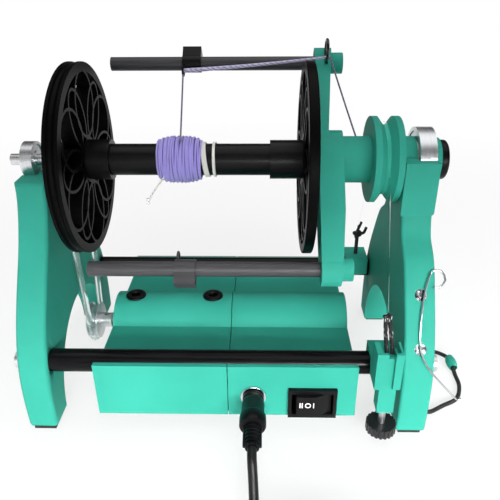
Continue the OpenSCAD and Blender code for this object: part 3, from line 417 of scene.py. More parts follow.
# %% [markdown]
# ### Moulded plastics and rubber
# The green body is moulded ABS. Its mould was spark-eroded, which leaves a fine grain that breaks up the highlight.
# The small black pieces are a glossier ABS with faint flow marks, and the bobbin's discs a duller one. Rubber is the
# same black with almost no shine. A noise pattern on object coordinates makes the grain, because it needs no UV map
# and is the same on every side. Real mould grain is finer than the picture can show, so it is drawn coarser.

# %% Plastics and rubber
# Spark-eroded ABS gives the eye a soft, even sheen with a faint sparkle of grain
green_abs = new_finish("moulded_abs_green", "#33a18e", 0.62, IOR=1.53, Specular_IOR_Level=0.14)
mottled(green_abs, 28, 2.0, tint=("#309c89", "#36a693"))
mottled(green_abs, 0.6, 3.0, gloss=(0.56, 0.7), bump=(0.05, 0.35))

# Polished-mould ABS in black gives long grey highlights on its edges
black_abs = new_finish("moulded_abs_black", "#0d0d0e", 0.3, IOR=1.5, Specular_IOR_Level=0.16)
mottled(black_abs, 9, 4.0, tint=("#0a0a0b", "#101012"), gloss=(0.26, 0.4))
mottled(black_abs, 0.5, 2.0, bump=(0.03, 0.25))

# The discs have the same plastic off a blasted mould, so their broad faces stay dark and only edges shine
disc_abs = mottled(new_finish("blasted_abs_black", "#070708", 0.42, IOR=1.5, Specular_IOR_Level=0.05), 0.7, 3.0,
                   tint=("#050506", "#0a0a0b"), gloss=(0.36, 0.5), bump=(0.04, 0.3))

# Moulded nylon of the knob is satin, so each rib and corner shows a grey edge
black_nylon = mottled(new_finish("moulded_nylon_black", "#19191b", 0.36, IOR=1.53), 0.8, 3.0,
                      tint=("#151517", "#1f1f22"), gloss=(0.3, 0.44), bump=(0.03, 0.3))

# Moulded nitrile rubber is dull, with a dusty bloom
black_rubber = mottled(new_finish("moulded_rubber_black", "#151515", 0.72, IOR=1.52), 4, 5.0,
                       tint=("#101010", "#1d1d1d"), gloss=(0.62, 0.8), bump=(0.04, 0.3))

# Extruded PVC of the cord is smooth and slightly waxy, with draw marks along it
cord_pvc = mottled(new_finish("extruded_pvc_black", "#121213", 0.4, IOR=1.53, Specular_IOR_Level=0.22), 1, 3.0,
                   stretch=(0.05, 1.2, 1), on_strand=True,
                   tint=("#0e0e0f", "#19191b"), gloss=(0.32, 0.5), bump=(0.03, 0.3))
power_cord.data.materials.append(cord_pvc)

# Screen-printed white ink is flat and slightly uneven
white_ink = mottled(new_finish("screen_print_white", "#f2f2ee", 0.6), 0.4, 2.0, tint=("#e4e4df", "#fafaf7"))
print(len(bpy.data.materials), "materials so far")

# %% [markdown]
# ### Metals
# The rods are lacquered black and shine like a wet line. The arms are dull dark tubes. The bearings, pulley and screws
# are bare steel, turned on a lathe, so fine rings run round the X axis. A noise that is squeezed along X gives such
# rings without any UV map. They are drawn coarser than real ones, so that they show. A metal keeps the shader's own
# IOR. The circuit board inside is here too, as the last of the hard finishes.

# %% Metals
# Lacquer on drawn steel: a deep black with a sharp reflection
black_lacquer = mottled(new_finish("lacquered_steel_black", "#070708", 0.18, Specular_IOR_Level=0.1), 0.8, 3.0,
                        stretch=(0.06, 1, 1), tint=("#0a0a0b", "#121214"), gloss=(0.12, 0.24))

# Pultruded tube, sanded lengthwise: a broad soft highlight
dark_tube = mottled(new_finish("sanded_tube_dark_grey", "#3b3b3e", 0.46, IOR=1.5), 0.5, 4.0, stretch=(0.04, 1, 1),
                    tint=("#333336", "#454548"), gloss=(0.4, 0.55), bump=(0.02, 0.3))

# Turned steel: bright, with fine rings that stretch its reflections
turned_steel = mottled(new_finish("turned_steel", "#dcdee0", 0.34, Metallic=1.0), 0.3, 3.0, stretch=(1, 0.05, 0.05),
                       tint=("#d2d4d6", "#e8eaec"), gloss=(0.28, 0.42), bump=(0.02, 0.25))

# Chrome plate is nearly a mirror, with a few hair scratches
chrome = mottled(new_finish("chrome_plate", "#dcdee2", 0.08, Metallic=1.0), 1.5, 6.0, gloss=(0.05, 0.14))

# Nickel plate on the small magnets is smooth; its colour is painted dark, in a mottle from dark to pale grey, as a
# painted reflection of the dark parts near it
nickel_painted_dark = mottled(new_finish("nickel_plate_painted_dark", "#6a6c70", 0.2, Metallic=1.0), 1.5, 2.0,
                      tint=("#3c3e42", "#a4a6aa", 0.35, 0.65), gloss=(0.14, 0.28))

# Lacquered wire of the yarn eye is black, with one thin bright line along it
black_wire = mottled(new_finish("lacquered_wire_black", "#0d0d0e", 0.24, Coat_Weight=0.4), 1, 3.0, gloss=(0.18, 0.34))

# Sintered bronze of the bushes is warm and finely porous
bronze = mottled(new_finish("sintered_bronze", "#b98a46", 0.4, Metallic=1.0), 0.4, 4.0,
                 tint=("#9c7236", "#c99a52"), gloss=(0.32, 0.52))

# Solder-masked circuit board: glossy green over a faint weave
circuit_board = new_finish("solder_mask_green", "#1c5a30", 0.3)
tree = circuit_board.node_tree
weave = add(tree, "ShaderNodeTexChecker", {"Vector": add(tree, "ShaderNodeTexCoord").outputs["Object"],
                                           "Scale": per_metre(1), "Color1": linear("#1a542d"),
                                           "Color2": linear("#1f6236")})
tree.links.new(weave.outputs["Color"], tree.nodes["Principled BSDF"].inputs["Base Color"])
print(len(bpy.data.materials), "materials so far")

# %% [markdown]
# ### Clear belts and braided cords
# The belt is clear polyurethane that shows bright lines where the light bends in it, and the brake band is a thin
# clear line. The black cord is braided and the elastic has white flecks in its braid. A braid reads the strand's UV
# map in millimetres, because only that follows the strand: two waves that lean to either side cross like its yarns.

# %% Clear plastic and braids
# Cast polyurethane bends light like glass, with a slightly hazy skin
clear_belt = mottled(new_finish("cast_polyurethane_clear", "#e9f4f3", 0.1, IOR=1.49, Transmission_Weight=0.9), 3, 3.0,
                     gloss=(0.06, 0.18))

# The brake band is a thin clear line that the eye hardly finds, so it bends light very little
clear_line = mottled(new_finish("drawn_nylon_clear", "#fbfdfd", 0.03, IOR=1.05, Transmission_Weight=1.0), 4, 2.0,
                     gloss=(0.02, 0.08))

ONE_BAND = 0.314  # the scale at which a Wave texture has one band per millimetre of the UV map


def braid(material, yarn_mm):
    """Crossing yarns of a braid on a UV map in millimetres."""
    tree = material.node_tree
    run = add(tree, "ShaderNodeUVMap").outputs["UV"]
    waves = []
    for turn in (math.radians(45), math.radians(-45)):
        leaned = add(tree, "ShaderNodeMapping", {"Vector": run, "Rotation": (0, 0, turn)}).outputs["Vector"]
        waves.append(add(tree, "ShaderNodeTexWave", {"Vector": leaned, "Scale": ONE_BAND / yarn_mm}).outputs["Fac"])
    return add(tree, "ShaderNodeMath", dict(enumerate(waves)), operation="MAXIMUM").outputs[0]


# Braided polyester: matt, with light on each crossing yarn
braided_cord = new_finish("braided_polyester_black", "#151517", 0.7)
drive(braided_cord, braid(braided_cord, 0.8), tint=("#08080a", "#242428"), bump=(0.15, 0.8))
tether.data.materials.append(braided_cord)

# Shock cord: the same braid with white tracer yarns
shock_cord = mottled(new_finish("braided_elastic_black_fleck", "#141416", 0.65), 1, 1.0, stretch=(0.35, 1.1, 1),
                     lean=35, on_strand=True, tint=("#0d0d0f", "#d4d4d2", 0.6, 0.66))
drive(shock_cord, braid(shock_cord, 0.7), bump=(0.12, 0.7))
print(len(bpy.data.materials), "materials so far")

# %% [markdown]
# ### Wool and cotton
# Yarn is spun: its fibres wind round it, and so do the plies of a cotton thread. A wave that leans across the strand's
# UV map gives that twist, and an image of yarn would repeat. The same wool is painted a deeper violet inside the
# winding and grey on the single thin thread, both as painted shade, and it is greyer where it is drawn out thin.

# %% Wool and cotton
def twisted(material, lean, ply_mm, tint, bump, **wave):
    """Drives a finish by plies of that width, which lean by that many degrees across the strand."""
    tree = material.node_tree
    run = add(tree, "ShaderNodeUVMap").outputs["UV"]
    leaned = add(tree, "ShaderNodeMapping", {"Vector": run, "Rotation": (0, 0, math.radians(lean))}).outputs["Vector"]
    plies = add(tree, "ShaderNodeTexWave", {"Vector": leaned, "Scale": ONE_BAND / ply_mm, **wave}).outputs["Fac"]
    return drive(material, plies, tint=tint, bump=bump)


# Spun wool singles: soft, with pale fibres on a deeper lavender
yarn = twisted(new_finish("spun_wool_lavender", "#8b7fda", 0.85, Sheen_Weight=0.35, Sheen_Roughness=0.5), 58, 0.7,
               tint=("#8779da", "#cabffe", 0.15, 0.9), bump=(0.12, 0.6), Distortion=3.0, Detail=2.0)

# Deep inside the winding the same wool gets little light, so its colour is painted shade in a deep violet
yarn_painted_shade = mottled(new_finish("spun_wool_painted_shade", "#4a4090", 0.9), 0.6, 3.0, tint=("#2f2768", "#473d8c"),
                    bump=(0.1, 0.5))

# Where it runs free the wool is stretched, thin and greyer
free_yarn = twisted(new_finish("drawn_wool_grey_lavender", "#9a94bd", 0.85, Sheen_Weight=0.3, Sheen_Roughness=0.5),
                    70, 0.9, tint=("#aaa4ce", "#dcd8f2", 0.1, 0.95), bump=(0.12, 0.6), Distortion=4.0, Detail=2.0)

# The single thin thread is in its own shade for most of its round, so it is painted grey as painted shade
thin_yarn = twisted(new_finish("twisted_wool_painted_shade", "#76738a", 0.85), 60, 0.8,
                    tint=("#5d5a74", "#8d8aa2", 0.1, 0.9), bump=(0.1, 0.5), Distortion=1.0)

# Twisted cotton thread, almost white
cotton = twisted(new_finish("twisted_cotton_white", "#f1efe8", 0.8, Sheen_Weight=0.2), 50, 0.5,
                 tint=("#dcd9d0", "#fbfaf6", 0.1, 0.9), bump=(0.1, 0.6))
print(len(bpy.data.materials), "materials in all")

# %% [markdown]
# ## Finishes on the solids
# The record gives each solid a material slot. One table from slot to finish dresses all of them, which is quicker and
# safer than naming every solid. Pieces that are remade below get their finish as they are made.

# %% Finishes on the solids
finish_of_slot = {"green_plastic": green_abs, "black_plastic": black_abs, "rubber_black": black_rubber,
                  "black_rod": black_lacquer, "dark_tube": dark_tube, "steel": turned_steel, "black_wire": black_wire,
                  "chrome_plate": chrome, "bronze_bush": bronze, "board_green": circuit_board,
                  "clear_belt": clear_belt, "black_cord": braided_cord, "yarn": yarn}
for name, solid in nodes.items():
    solid.data.materials.clear()
    solid.data.materials.append(finish_of_slot[slot_of[name]])
# The magnets take the nickel whose darkness is a painted reflection
nodes["hook_magnets"].data.materials[0] = nickel_painted_dark
print(len(nodes), "solids have their finish")

# %% [markdown]
# ## Soft edges
# No moulded or turned piece has knife edges: a small round catches the light along every edge. A Bevel modifier could
# do it, but it can't pick edges by where they lie. So a copy of the solid's mesh is merged, its flat faces are joined
# and its sharp edges are bevelled. A Weighted Normal modifier then keeps the flat faces flat.

# %% Softened solids
MERGE, WELD, ON_PLANE = 2e-6, 1e-6, 0.01 * MM
SAME_FACE, SHADE_SHARP = math.radians(0.6), math.radians(40)


def fill_flat_side(bm, plane_x):
    """Fills the flat side of a solid on one plane of x afresh, round its holes."""
    def on_plane(item):
        return all(abs(v.co.x - plane_x) < ON_PLANE for v in item.verts)

    bmesh.ops.delete(bm, geom=[f for f in bm.faces if on_plane(f)], context="FACES")
    bmesh.ops.triangle_fill(bm, edges=[e for e in bm.edges if e.is_boundary and on_plane(e)], use_beauty=True,
                            normal=(1, 0, 0))


def softened(node, width_mm, segments=2, sharp=28, pick=lambda edge: True, finish=None, flat_sides=()):
    """A copy of a solid with rounded edges, in the solid's place."""
    bm = bmesh.new()
    bm.from_mesh(nodes[node].data)
    bmesh.ops.remove_doubles(bm, verts=bm.verts, dist=MERGE)
    bmesh.ops.dissolve_limit(bm, angle_limit=SAME_FACE, verts=bm.verts, edges=bm.edges)
    crisp = [e for e in bm.edges if len(e.link_faces) == 2 and e.calc_face_angle() > math.radians(sharp) and pick(e)]
    bmesh.ops.bevel(bm, geom=crisp, offset=width_mm * MM, offset_type="OFFSET", segments=segments, profile=0.5,
                    affect="EDGES", clamp_overlap=True, material=-1)
    bmesh.ops.remove_doubles(bm, verts=bm.verts, dist=WELD)
    for plane_x in flat_sides:
        fill_flat_side(bm, plane_x)
    bmesh.ops.recalc_face_normals(bm, faces=bm.faces)
    still_open = sum(not e.is_manifold for e in bm.edges)
    print(node, len(crisp), "edges rounded,", len(bm.faces), "faces,", still_open, "open edges")
    mesh = mesh_of(bm, node + "_soft")
    piece = show(node + "_soft", mesh, finish or finish_of_slot[slot_of[node]])
    mesh.set_sharp_from_angle(angle=SHADE_SHARP)
    flat = piece.modifiers.new("flat_faces", "WEIGHTED_NORMAL")
    flat.keep_sharp = True
    return stands_for(piece, node)


for node, width in (("housing_left", 0.7), ("housing_right", 0.7), ("tension_guide", 0.7), ("tension_slider", 0.6),
                    ("brake_anchor", 0.8), ("crosspiece", 1.2), ("flyer_hub", 0.6), ("orifice_collar", 0.5),
                    ("orifice_insert", 0.5), ("switch_body", 0.35), ("switch_rocker", 0.4), ("adapter", 1.5),
                    ("coil_tie", 0.3), ("rubber_feet", 0.4), ("motor_pulley", 0.25), ("bobbin_whorl", 0.4),
                    ("dc_jack_nut", 0.25)):
    softened(node, width)
# The lower hook is the same black plastic as the upper one; it gets the lighter grey tube finish as painted light from
# above
for node, width, finish in (("upper_hook", 0.5, black_abs), ("lower_hook", 0.5, dark_tube),
                            ("tension_knob", 0.25, black_nylon)):
    softened(node, width, finish=finish)

# %% [markdown]
# ## Uprights
# The uprights have the widest rounds of all, and only along their outer outline. A bevel is held back everywhere by
# the tightest spot that it meets, so the edges of the arch, the holes and the bearing seat are not picked. After the
# bevel, each flat side is one large face with holes in it, which can fold over itself. So it is deleted and filled
# afresh with triangles.

# %% Uprights
SPINDLE_MM = 111
SPINDLE = SPINDLE_MM * MM
ROD_Y, ROD_Z = 42.5 * MM, 34 * MM
SIDES_X = (75.5 * MM, 88.5 * MM)
HOLES = [(-ROD_Y, ROD_Z, 6.5 * MM), (ROD_Y, ROD_Z, 6.5 * MM), (-42 * MM, 6 * MM, 3 * MM)]
ARCH_Y, ARCH_Z, BESIDE = 38 * MM, 60 * MM, 0.02 * MM
LEFT_SEAT, RIGHT_SEAT = (0, SPINDLE, 15 * MM), (0, SPINDLE, 24 * MM)


def on_outline(edge):
    """True where an edge is part of an upright's outer outline, clear of its arch, holes and bearing seat."""
    middle = (edge.verts[0].co + edge.verts[1].co) / 2
    beside = all(min(abs(abs(v.co.x) - x) for x in SIDES_X) < BESIDE for v in edge.verts)
    seat = LEFT_SEAT if middle.x < 0 else RIGHT_SEAT
    past_arch = abs(middle.y) > ARCH_Y or middle.z > ARCH_Z
    return beside and past_arch and all(math.hypot(middle.y - y, middle.z - z) > reach
                                        for y, z, reach in HOLES + [seat])


for node, side in (("left_upright", -1), ("right_upright", 1)):
    softened(node, 1.8, segments=4, pick=on_outline, flat_sides=[side * x for x in SIDES_X])

# %% [markdown]
# ## Rims of the bobbin
# The discs were moulded with rounded rims, and a thin line of light runs round each of them. Only the edges out at the
# rim are bevelled: the ribs of the open pattern keep their crisp moulded edge.

# %% Disc rims
RIM_R = 38.8 * MM


def at_rim(edge):
    """True where both ends of an edge lie out at a disc's rim."""
    return all(math.hypot(v.co.y, v.co.z - SPINDLE) > RIM_R for v in edge.verts)


for node in ("left_disc", "right_disc"):
    softened(node, 0.6, segments=3, pick=at_rim, finish=disc_abs)

# %% [markdown]
# ## Winding
# The yarn on the bobbin is one long thread that crosses over itself on its way out and back. A helix whose radius
# follows a barrel gives both passes, and each turn is moved a little, from a fixed seed, as a hand-fed thread wanders.

# %% Winding
random.seed(4)
WIND_X0, WIND_X1, CORE_R, YARN_MM = -29.0, -10.4, 6.85, 0.82
BED_UP, BELLY, RIPPLE = 1, 1.6, 0.05
TURN_STEPS, FIRST_TOUCH = 26, math.radians(122)


def barrel(share):
    """The radius of the bed under the yarn at a share of the winding's length."""
    return CORE_R + BED_UP + BELLY * (1 - abs(2 * share - 1) ** 3)


def wind_x(share):
    """The place along X at a share of the winding's length."""
    return WIND_X0 + (WIND_X1 - WIND_X0) * share


def one_pass(turns, start, end, lift, wander):
    """Points of the thread from one share of the length to another."""
    count = turns * TURN_STEPS
    shifts = [random.uniform(-wander, wander) for _ in range(turns + 3)]
    points = []
    for i in range(count + 1):
        turn, part = divmod(i / TURN_STEPS, 1)
        drift = shifts[int(turn)] * (1 - part) + shifts[int(turn) + 1] * part
        share = min(1, max(0, start + (end - start) * i / count + drift * math.sin(math.pi * i / count)))
        radius = barrel(share) + lift + RIPPLE * math.sin(5 * i / TURN_STEPS)
        angle = FIRST_TOUCH - math.tau * i / TURN_STEPS
        points.append((wind_x(share), radius * math.cos(angle), SPINDLE_MM + radius * math.sin(angle)))
    return points


back = one_pass(18, start=1, end=0, lift=0.1, wander=0.016)
forth = one_pass(11, start=0, end=1, lift=0.5, wander=0.03)
wound = metres(back + forth[1:])
winding = strand("yarn_on_bobbin", wound, YARN_MM * MM, yarn, roundness=2)
stands_for(winding, "yarn_winding")
print("wound yarn", round(run_of(wound), 2), "m")

# %% [markdown]
# ## Wool under the winding
# Between the turns shows the wool below them, a barrel painted a deeper violet as the shade between the turns. More
# turns could fill it, but none of them would be seen. The barrel is round all over, so half of its outline is drawn
# once and spun about the spindle. The same function spins the plug, the grommets and the ring on the switch further
# down.

# %% Wool under the winding
def spin_outline(bm, outline, centre, axis, steps, closed=False):
    """Spins an outline in millimetres one whole turn about an axis through the centre."""
    ring = [bm.verts.new(Vector(point) * MM) for point in outline]
    rails = [bm.edges.new(pair) for pair in zip(ring, ring[1:] + (ring[:1] if closed else []))]
    bmesh.ops.spin(bm, geom=ring + rails, cent=Vector(centre) * MM, axis=axis, angle=math.tau, steps=steps,
                   use_merge=True)


BED_STEPS, OFF_CORE, UNDER_YARN = 20, 0.06, 0.12
shares = [i / BED_STEPS for i in range(BED_STEPS + 1)]
bed = [(CORE_R + OFF_CORE, 0)] + [(barrel(s) - UNDER_YARN, s) for s in shares] + [(CORE_R + OFF_CORE, 1)]
bm = bmesh.new()
spin_outline(bm, [(wind_x(share), -radius, SPINDLE_MM) for radius, share in bed], (0, 0, SPINDLE_MM), (1, 0, 0), 48,
             closed=True)
bmesh.ops.recalc_face_normals(bm, faces=bm.faces)
print("bed", len(bm.faces), "faces")
# The bed's deep violet is painted shade, not a different wool
stands_for(show("yarn_bed", mesh_of(bm, "yarn_bed"), yarn_painted_shade), "yarn_core")

# %% [markdown]
# ## Thread through the flyer
# The thread leaves the spindle by a side hole, turns round the eye, runs along the upper arm and turns through the
# hook's ring down to the winding. Each stretch hangs a little slack. The last two stretches reach from the flyer to
# the sliding hook.

# %% Thread
THIN_MM, ARM_MM = 0.75, 1.0
SIDE_HOLE, EYE, RING, TOUCH = (58, 6.3, 116.7), (46.0, 26.96, 149.77), (-20.7, 30.86, 143.27), (-18.6, -5.7, 120.5)


def slack(start, end, sag, pull=(0, 0, -1), count=16):
    """Points from start to end that sag by that many millimetres."""
    start, end = Vector(start), Vector(end)
    return [start.lerp(end, i / count) + Vector(pull) * sag * 4 * (i / count) * (1 - i / count)
            for i in range(count + 1)]


lead_thread = strand("yarn_to_eye", metres(slack(SIDE_HOLE, EYE, 0.3)), THIN_MM * MM, thin_yarn)
stands_for(lead_thread, "yarn_lead")
for name, node, start, end, sag, thickness, taper, wool in (
        ("yarn_along_arm", "yarn_run", EYE, RING, 0.5, ARM_MM, 2.0, free_yarn),
        ("yarn_to_winding", "yarn_drop", TOUCH, RING, 0.3, THIN_MM, 1.0, thin_yarn)):
    thread = strand(name, metres(slack(start, end, sag)), thickness * MM, wool, taper=taper)
    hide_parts(node)
    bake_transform(thread)

# %% [markdown]
# ## Leader
# A white cotton leader is tied to the bobbin, so that new yarn has something to catch on. It goes round the core in a
# narrow ring and a few slanted turns, and its frayed end hangs out of the winding. The fray is a fan of thin strands.

# %% Leader
COTTON_MM, FRAY_MM, ROUND_STEPS = 0.8, 0.25, 30


def slanted(centre, turns, drift, slant, lift):
    """Turns round the core whose plane leans along X."""
    points = []
    radius = CORE_R + lift
    for i in range(int(turns * ROUND_STEPS) + 1):
        angle = math.tau * i / ROUND_STEPS
        points.append((centre + drift * i / ROUND_STEPS - slant * math.sin(angle), radius * math.cos(angle),
                       SPINDLE_MM + radius * math.sin(angle)))
    return metres(points)


def on_bobbin(piece):
    """The piece turns with the bobbin."""
    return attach(piece, "bobbin")


tail = [(-25.5, -7.6, 107), (-28, -7.6, 103.4), (-31.2, -7.4, 99), (-33.6, -7.2, 95.2)]
for name, line in (("leader_ring", slanted(-5.3, turns=2.2, drift=0.5, slant=0.05, lift=0.4)),
                   ("leader_turns", slanted(-9.7, turns=3.1, drift=0.72, slant=0.8, lift=0.42)),
                   ("leader_tail", eased(metres(tail), LINE_STEPS))):
    on_bobbin(strand(name, line, COTTON_MM * MM, cotton))
FRAY_ROOT, (TIP_X, TIP_Y, TIP_Z) = (-32.9, -7.25, 96.4), tail[-1]
fibres = ((1.6, 0.6), (1.3, 1.7), (0.6, 2.6), (2.0, -0.4), (0.1, 1.8), (1.9, 2.3), (1.0, -0.6))
for k, (out, drop) in enumerate(fibres):
    fan = [FRAY_ROOT, tail[-1], (TIP_X - 0.6 * out, TIP_Y, TIP_Z - 0.7 * drop),
           (TIP_X - out, TIP_Y - 0.1, TIP_Z - drop)]
    on_bobbin(strand("leader_fray_%d" % k, eased(metres(fan), 4), FRAY_MM * MM, cotton, roundness=1))

# %% [markdown]
# ## Belt and brake band
# Both are clear round cords. The belt is a closed loop over the bobbin's whorl and the motor's pulley, and the band
# lies over the flyer's whorl with its two ends pulled down to the rods. Arcs of a circle and their tangents make both
# lines.

# %% Belt and band
def arc(x, radius, height, start, end, count):
    """Points round the X direction at that height. Angles are in degrees, and 90 is up."""
    angles = [math.radians(start + (end - start) * i / count) for i in range(count + 1)]
    return [(x, radius * math.cos(a), height + radius * math.sin(a)) for a in angles]


BELT_X, BELT_MM, WHORL_R, PULLEY_R, MOTOR_Z = -68.4, 2.8, 16, 9.2, 26
lean = math.degrees(math.asin((WHORL_R - PULLEY_R) / (SPINDLE_MM - MOTOR_Z)))
belt = strand("belt_loop", metres(arc(BELT_X, WHORL_R, SPINDLE_MM, -lean, 180 + lean, 56)
                                  + arc(BELT_X, PULLEY_R, MOTOR_Z, 180 + lean, 360 - lean, 40)),
              BELT_MM * MM, clear_belt, loop=True, roundness=4)
stands_for(belt, "drive_belt")

BAND_X, BAND_MM, BAND_R, BAND_LEAVES = 68, 0.9, 15.8, 24.34
FRONT_KNOT, REAR_KNOT = Vector((BAND_X, -42, 57)), Vector((BAND_X, 42, 57))
over = arc(BAND_X, BAND_R, SPINDLE_MM, 180 - BAND_LEAVES, BAND_LEAVES, 48)
band_start = FRONT_KNOT + 2.1 * (Vector(over[0]) - FRONT_KNOT).normalized()
band = strand("brake_band_run", metres([band_start] + over + [REAR_KNOT + Vector((0, 0, 0.3))]), BAND_MM * MM,
              clear_line, roundness=4)
stands_for(band, "brake_band")

# %% [markdown]
# ## Elastic and anchor cord
# A doubled shock cord pulls the band's front end down to the slider, and a black cord ties its rear end to the anchor.
# A knot could be modelled strand by strand. At this size a trefoil line, which is the path of a real overhand knot,
# gives the same bulges and shadows.

# %% Elastic and anchor cord
KNOT_STEPS, ELASTIC_MM, ANCHOR_MM, TIP_MM = 72, 1.8, 2.0, 1.6


def knot(name, centre, size, thickness, finish):
    """A tight overhand knot of about that radius in millimetres."""
    points = []
    for i in range(KNOT_STEPS):
        t = math.tau * i / KNOT_STEPS
        points.append(Vector(centre) + size / 3.6 * Vector((math.sin(t) + 2 * math.sin(2 * t),
                                                           -1.3 * math.sin(3 * t),
                                                           math.cos(t) - 2 * math.cos(2 * t))))
    return strand(name, metres(points), thickness * MM, finish, loop=True)


HITCH = Vector((BAND_X, -53, 45.2))
pull = (FRONT_KNOT - HITCH).normalized()
for k, (foot, head) in enumerate(((-1.0, -0.7), (1.0, 0.7))):
    leg = strand("elastic_leg_%d" % k, metres(slack(HITCH + 1.2 * pull + Vector((foot, 0, 0)),
                                                    FRONT_KNOT + Vector((head, 0, 0)), 0.25, (foot, 0, 0))),
                 ELASTIC_MM * MM, shock_cord)
    if k == 0:
        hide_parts("brake_elastic")
    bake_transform(leg)
elastic_knot = knot("elastic_knot", FRONT_KNOT, 1.6, 1.4, shock_cord)
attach(elastic_knot, "stand")

anchor_line = [(BAND_X, 42, 39.9), (BAND_X, 42, 47), (BAND_X, 42, 53)]
anchor = strand("anchor_cord_run", eased(metres(anchor_line), LINE_STEPS), ANCHOR_MM * MM, braided_cord)
stands_for(anchor, "anchor_cord")
anchor_knot = knot("anchor_knot", (BAND_X, 42, 54.5), 2.2, 1.8, braided_cord)
tips = [strand("anchor_tip_%d" % k, eased(metres(line), 5), TIP_MM * MM, braided_cord)
        for k, line in enumerate(([(67.5, 42.3, 55), (68.6, 41.9, 58.6), (69.4, 41, 62)],
                                  [(68.6, 42.2, 55), (71.2, 41.4, 55.6), (72.4, 41, 59)]))]
for piece in [anchor_knot] + tips:
    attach(piece, "stand")

# %% [markdown]
# ## Plug
# The plug was moulded in one piece round its metal sleeve: a stepped body, a wider collar to hold it by and a ribbed
# sleeve that keeps the cord from kinking. All of that is round, so its outline is spun about the plug's axis. Two
# rails beside the ribs are bevelled bars.

# %% Plug
def bar(bm, centre, size):
    """Adds a bar of that size in millimetres, and gives its vertices."""
    scale = Matrix.Diagonal([side * MM for side in size] + [1])
    return bmesh.ops.create_cube(bm, size=1, matrix=Matrix.Translation(Vector(centre) * MM) @ scale)["verts"]


PLUG_X, PLUG_Z, PLUG_FACE, PLUG_END = 12.5, 21, -51, -28
RIBS, RIB_PITCH, RIB_START, RIB_THIN = 6, 1.8, -17.2, 0.12
profile = [(0, 8.6), (2.7, 8.6), (2.7, 0), (4.3, 0), (4.6, -0.3), (4.6, -1.7), (4.2, -2), (4.2, -2.5), (4.6, -3.2),
           (4.85, -4.5), (4.85, -10.6), (5.2, -11.2), (5.55, -11.8), (5.55, -16.2), (5.1, -17), (3.6, RIB_START)]
for k in range(RIBS):
    far, crest = RIB_START - RIB_PITCH * k, 3.45 - RIB_THIN * k
    profile += [(crest - 0.6, far - 0.1), (crest - 0.6, far - 0.6), (crest, far - 0.7), (crest, far - 1.7)]
profile += [(2.2, PLUG_END), (0, PLUG_END)]
bm = bmesh.new()
spin_outline(bm, [(PLUG_X + r, PLUG_FACE + y, PLUG_Z) for r, y in profile], (PLUG_X, 0, PLUG_Z), (0, 1, 0), 40)
bmesh.ops.remove_doubles(bm, verts=bm.verts, dist=WELD)
for side in (-1, 1):
    rail = bar(bm, (PLUG_X + 3.1 * side, -73, PLUG_Z), (1.4, 10, 2.4))
    edges = list({e for v in rail for e in v.link_edges})
    bmesh.ops.bevel(bm, geom=edges, offset=0.35 * MM, segments=2, profile=0.5, affect="EDGES", material=-1)
bmesh.ops.recalc_face_normals(bm, faces=bm.faces)
METAL_TO = (PLUG_FACE - 1.9) * MM
for face in bm.faces:
    face.material_index = 1 if face.calc_center_median().y > METAL_TO else 0
plug_mesh = mesh_of(bm, "plug_body")
plug = show("plug_body", plug_mesh, black_abs)
plug_mesh.materials.append(chrome)
plug_mesh.set_sharp_from_angle(angle=math.radians(35))
stands_for(plug, "dc_plug")
print("plug", len(plug_mesh.polygons), "faces")

# %% [markdown]
# ## Grommets
# Two black plastic grommets close holes in the cover. Each is a soft ring with a hollow in its middle, so the outline
# of half a ring is spun round an upright axis.

# %% Grommets
GROMMET_R, GROMMET_UP = 5, 1.2
ring_outline = [(0, -1.0), (2.2, -1.0), (2.2, 0.3), (2.5, 0.85), (3.1, 1.15), (3.8, 1.2), (4.5, 0.95), (4.95, 0.5),
                (4.95, 0.02), (2.9, 0.02), (2.9, -1.6), (0, -1.6)]
low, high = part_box("cover_grommets")
lid = high[2] / MM - GROMMET_UP
bm = bmesh.new()
for centre in (low[0] / MM + GROMMET_R, high[0] / MM - GROMMET_R):
    spin_outline(bm, [(centre + r, 0, lid + z) for r, z in ring_outline], (centre, 0, 0), (0, 0, 1), 40)
bmesh.ops.remove_doubles(bm, verts=bm.verts, dist=WELD)
bmesh.ops.recalc_face_normals(bm, faces=bm.faces)
grommet_mesh = mesh_of(bm, "grommet_rings")
grommets = show("grommet_rings", grommet_mesh, black_abs)
grommet_mesh.set_sharp_from_angle(angle=math.radians(50))
stands_for(grommets, "cover_grommets")
print("grommets", len(grommet_mesh.polygons), "faces")

# %% [markdown]
# ## Threading hook
# The hook is bent from thin bright wire. Its solid already has the bends, so a copy of it is merged, pulled in a
# little along its normals to the wire's true thickness, and shaded smooth.

# %% Threading hook
WIRE_IN = 0.15 * MM
bm = bmesh.new()
bm.from_mesh(nodes["threading_hook"].data)
bmesh.ops.remove_doubles(bm, verts=bm.verts, dist=MERGE)
bm.normal_update()
for vert in bm.verts:
    vert.co -= vert.normal * WIRE_IN
wire_mesh = mesh_of(bm, "hook_wire")
stands_for(show("hook_wire", wire_mesh, chrome), "threading_hook")
print("wire", len(wire_mesh.polygons), "faces")

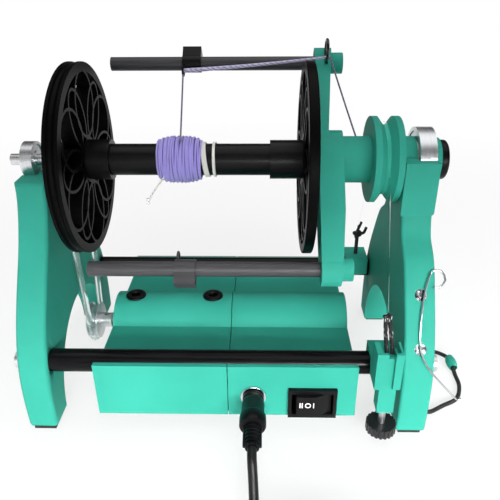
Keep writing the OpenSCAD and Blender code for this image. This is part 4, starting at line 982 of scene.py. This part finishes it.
# %% [markdown]
# ## Marks on the switch
# Three plain marks are printed on the rocker: two bars, a ring and one bar. They are thin pieces that lie on its
# slanted face. The bars are flat cubes, and the ring is a small rectangle spun round. All are made flat at the origin
# first, and one matrix then lays them on the face.

# %% Switch marks
PIVOT, TILT = Vector((38, -48.5, 18)) * MM, math.radians(12)
FACE_START, slope = Vector((-7.8, -3.2, 0)) * MM, Vector((7.8, -1.7, 0)).normalized()
outward = Vector((slope.y, -slope.x, 0))
on_face = (Matrix.Translation(PIVOT) @ Matrix.Rotation(TILT, 4, "Z") @ Matrix.Translation(FACE_START)
           @ Matrix((slope, Vector((0, 0, 1)), outward)).transposed().to_4x4())
MARK_HIGH, MARK_WIDE, INK, MARK_UP = 2.7, 0.45, 0.06, 1.0
RING_AT, RING_R = 4.9, 1.1
bm = bmesh.new()
for along in (1.5, 2.45, 7.3):
    bar(bm, (along, MARK_UP, INK / 2), (MARK_WIDE, MARK_HIGH, INK))
inner, outer = RING_AT + RING_R - MARK_WIDE / 2, RING_AT + RING_R + MARK_WIDE / 2
spin_outline(bm, [(x, MARK_UP, z) for x, z in ((inner, 0), (outer, 0), (outer, INK), (inner, INK))],
             (RING_AT, MARK_UP, 0), (0, 0, 1), 36, closed=True)
bmesh.ops.recalc_face_normals(bm, faces=bm.faces)
bmesh.ops.transform(bm, matrix=on_face, verts=bm.verts)
mark_mesh = mesh_of(bm, "switch_marks")
marks_piece = show("switch_marks", mark_mesh, white_ink)
mark_mesh.set_sharp_from_angle(angle=math.radians(35))
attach(marks_piece, "switch_rocker")
print("marks", len(mark_mesh.polygons), "faces")

# %% [markdown]
# ## Blades of the adapter
# The two blades that go into the wall are bare metal. They belong to the adapter's solid, so its softened copy gets a
# second material on the faces past its front.

# %% Adapter blades
BLADE_LONG = 16.5 * MM
adapter = bpy.data.objects["adapter_soft"]
adapter.data.materials.append(turned_steel)
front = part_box("adapter")[1][0] - BLADE_LONG
for face in adapter.data.polygons:
    face.material_index = 1 if face.center.x > front else 0
print("blades", sum(face.material_index for face in adapter.data.polygons), "faces")

# %% End
print("done")
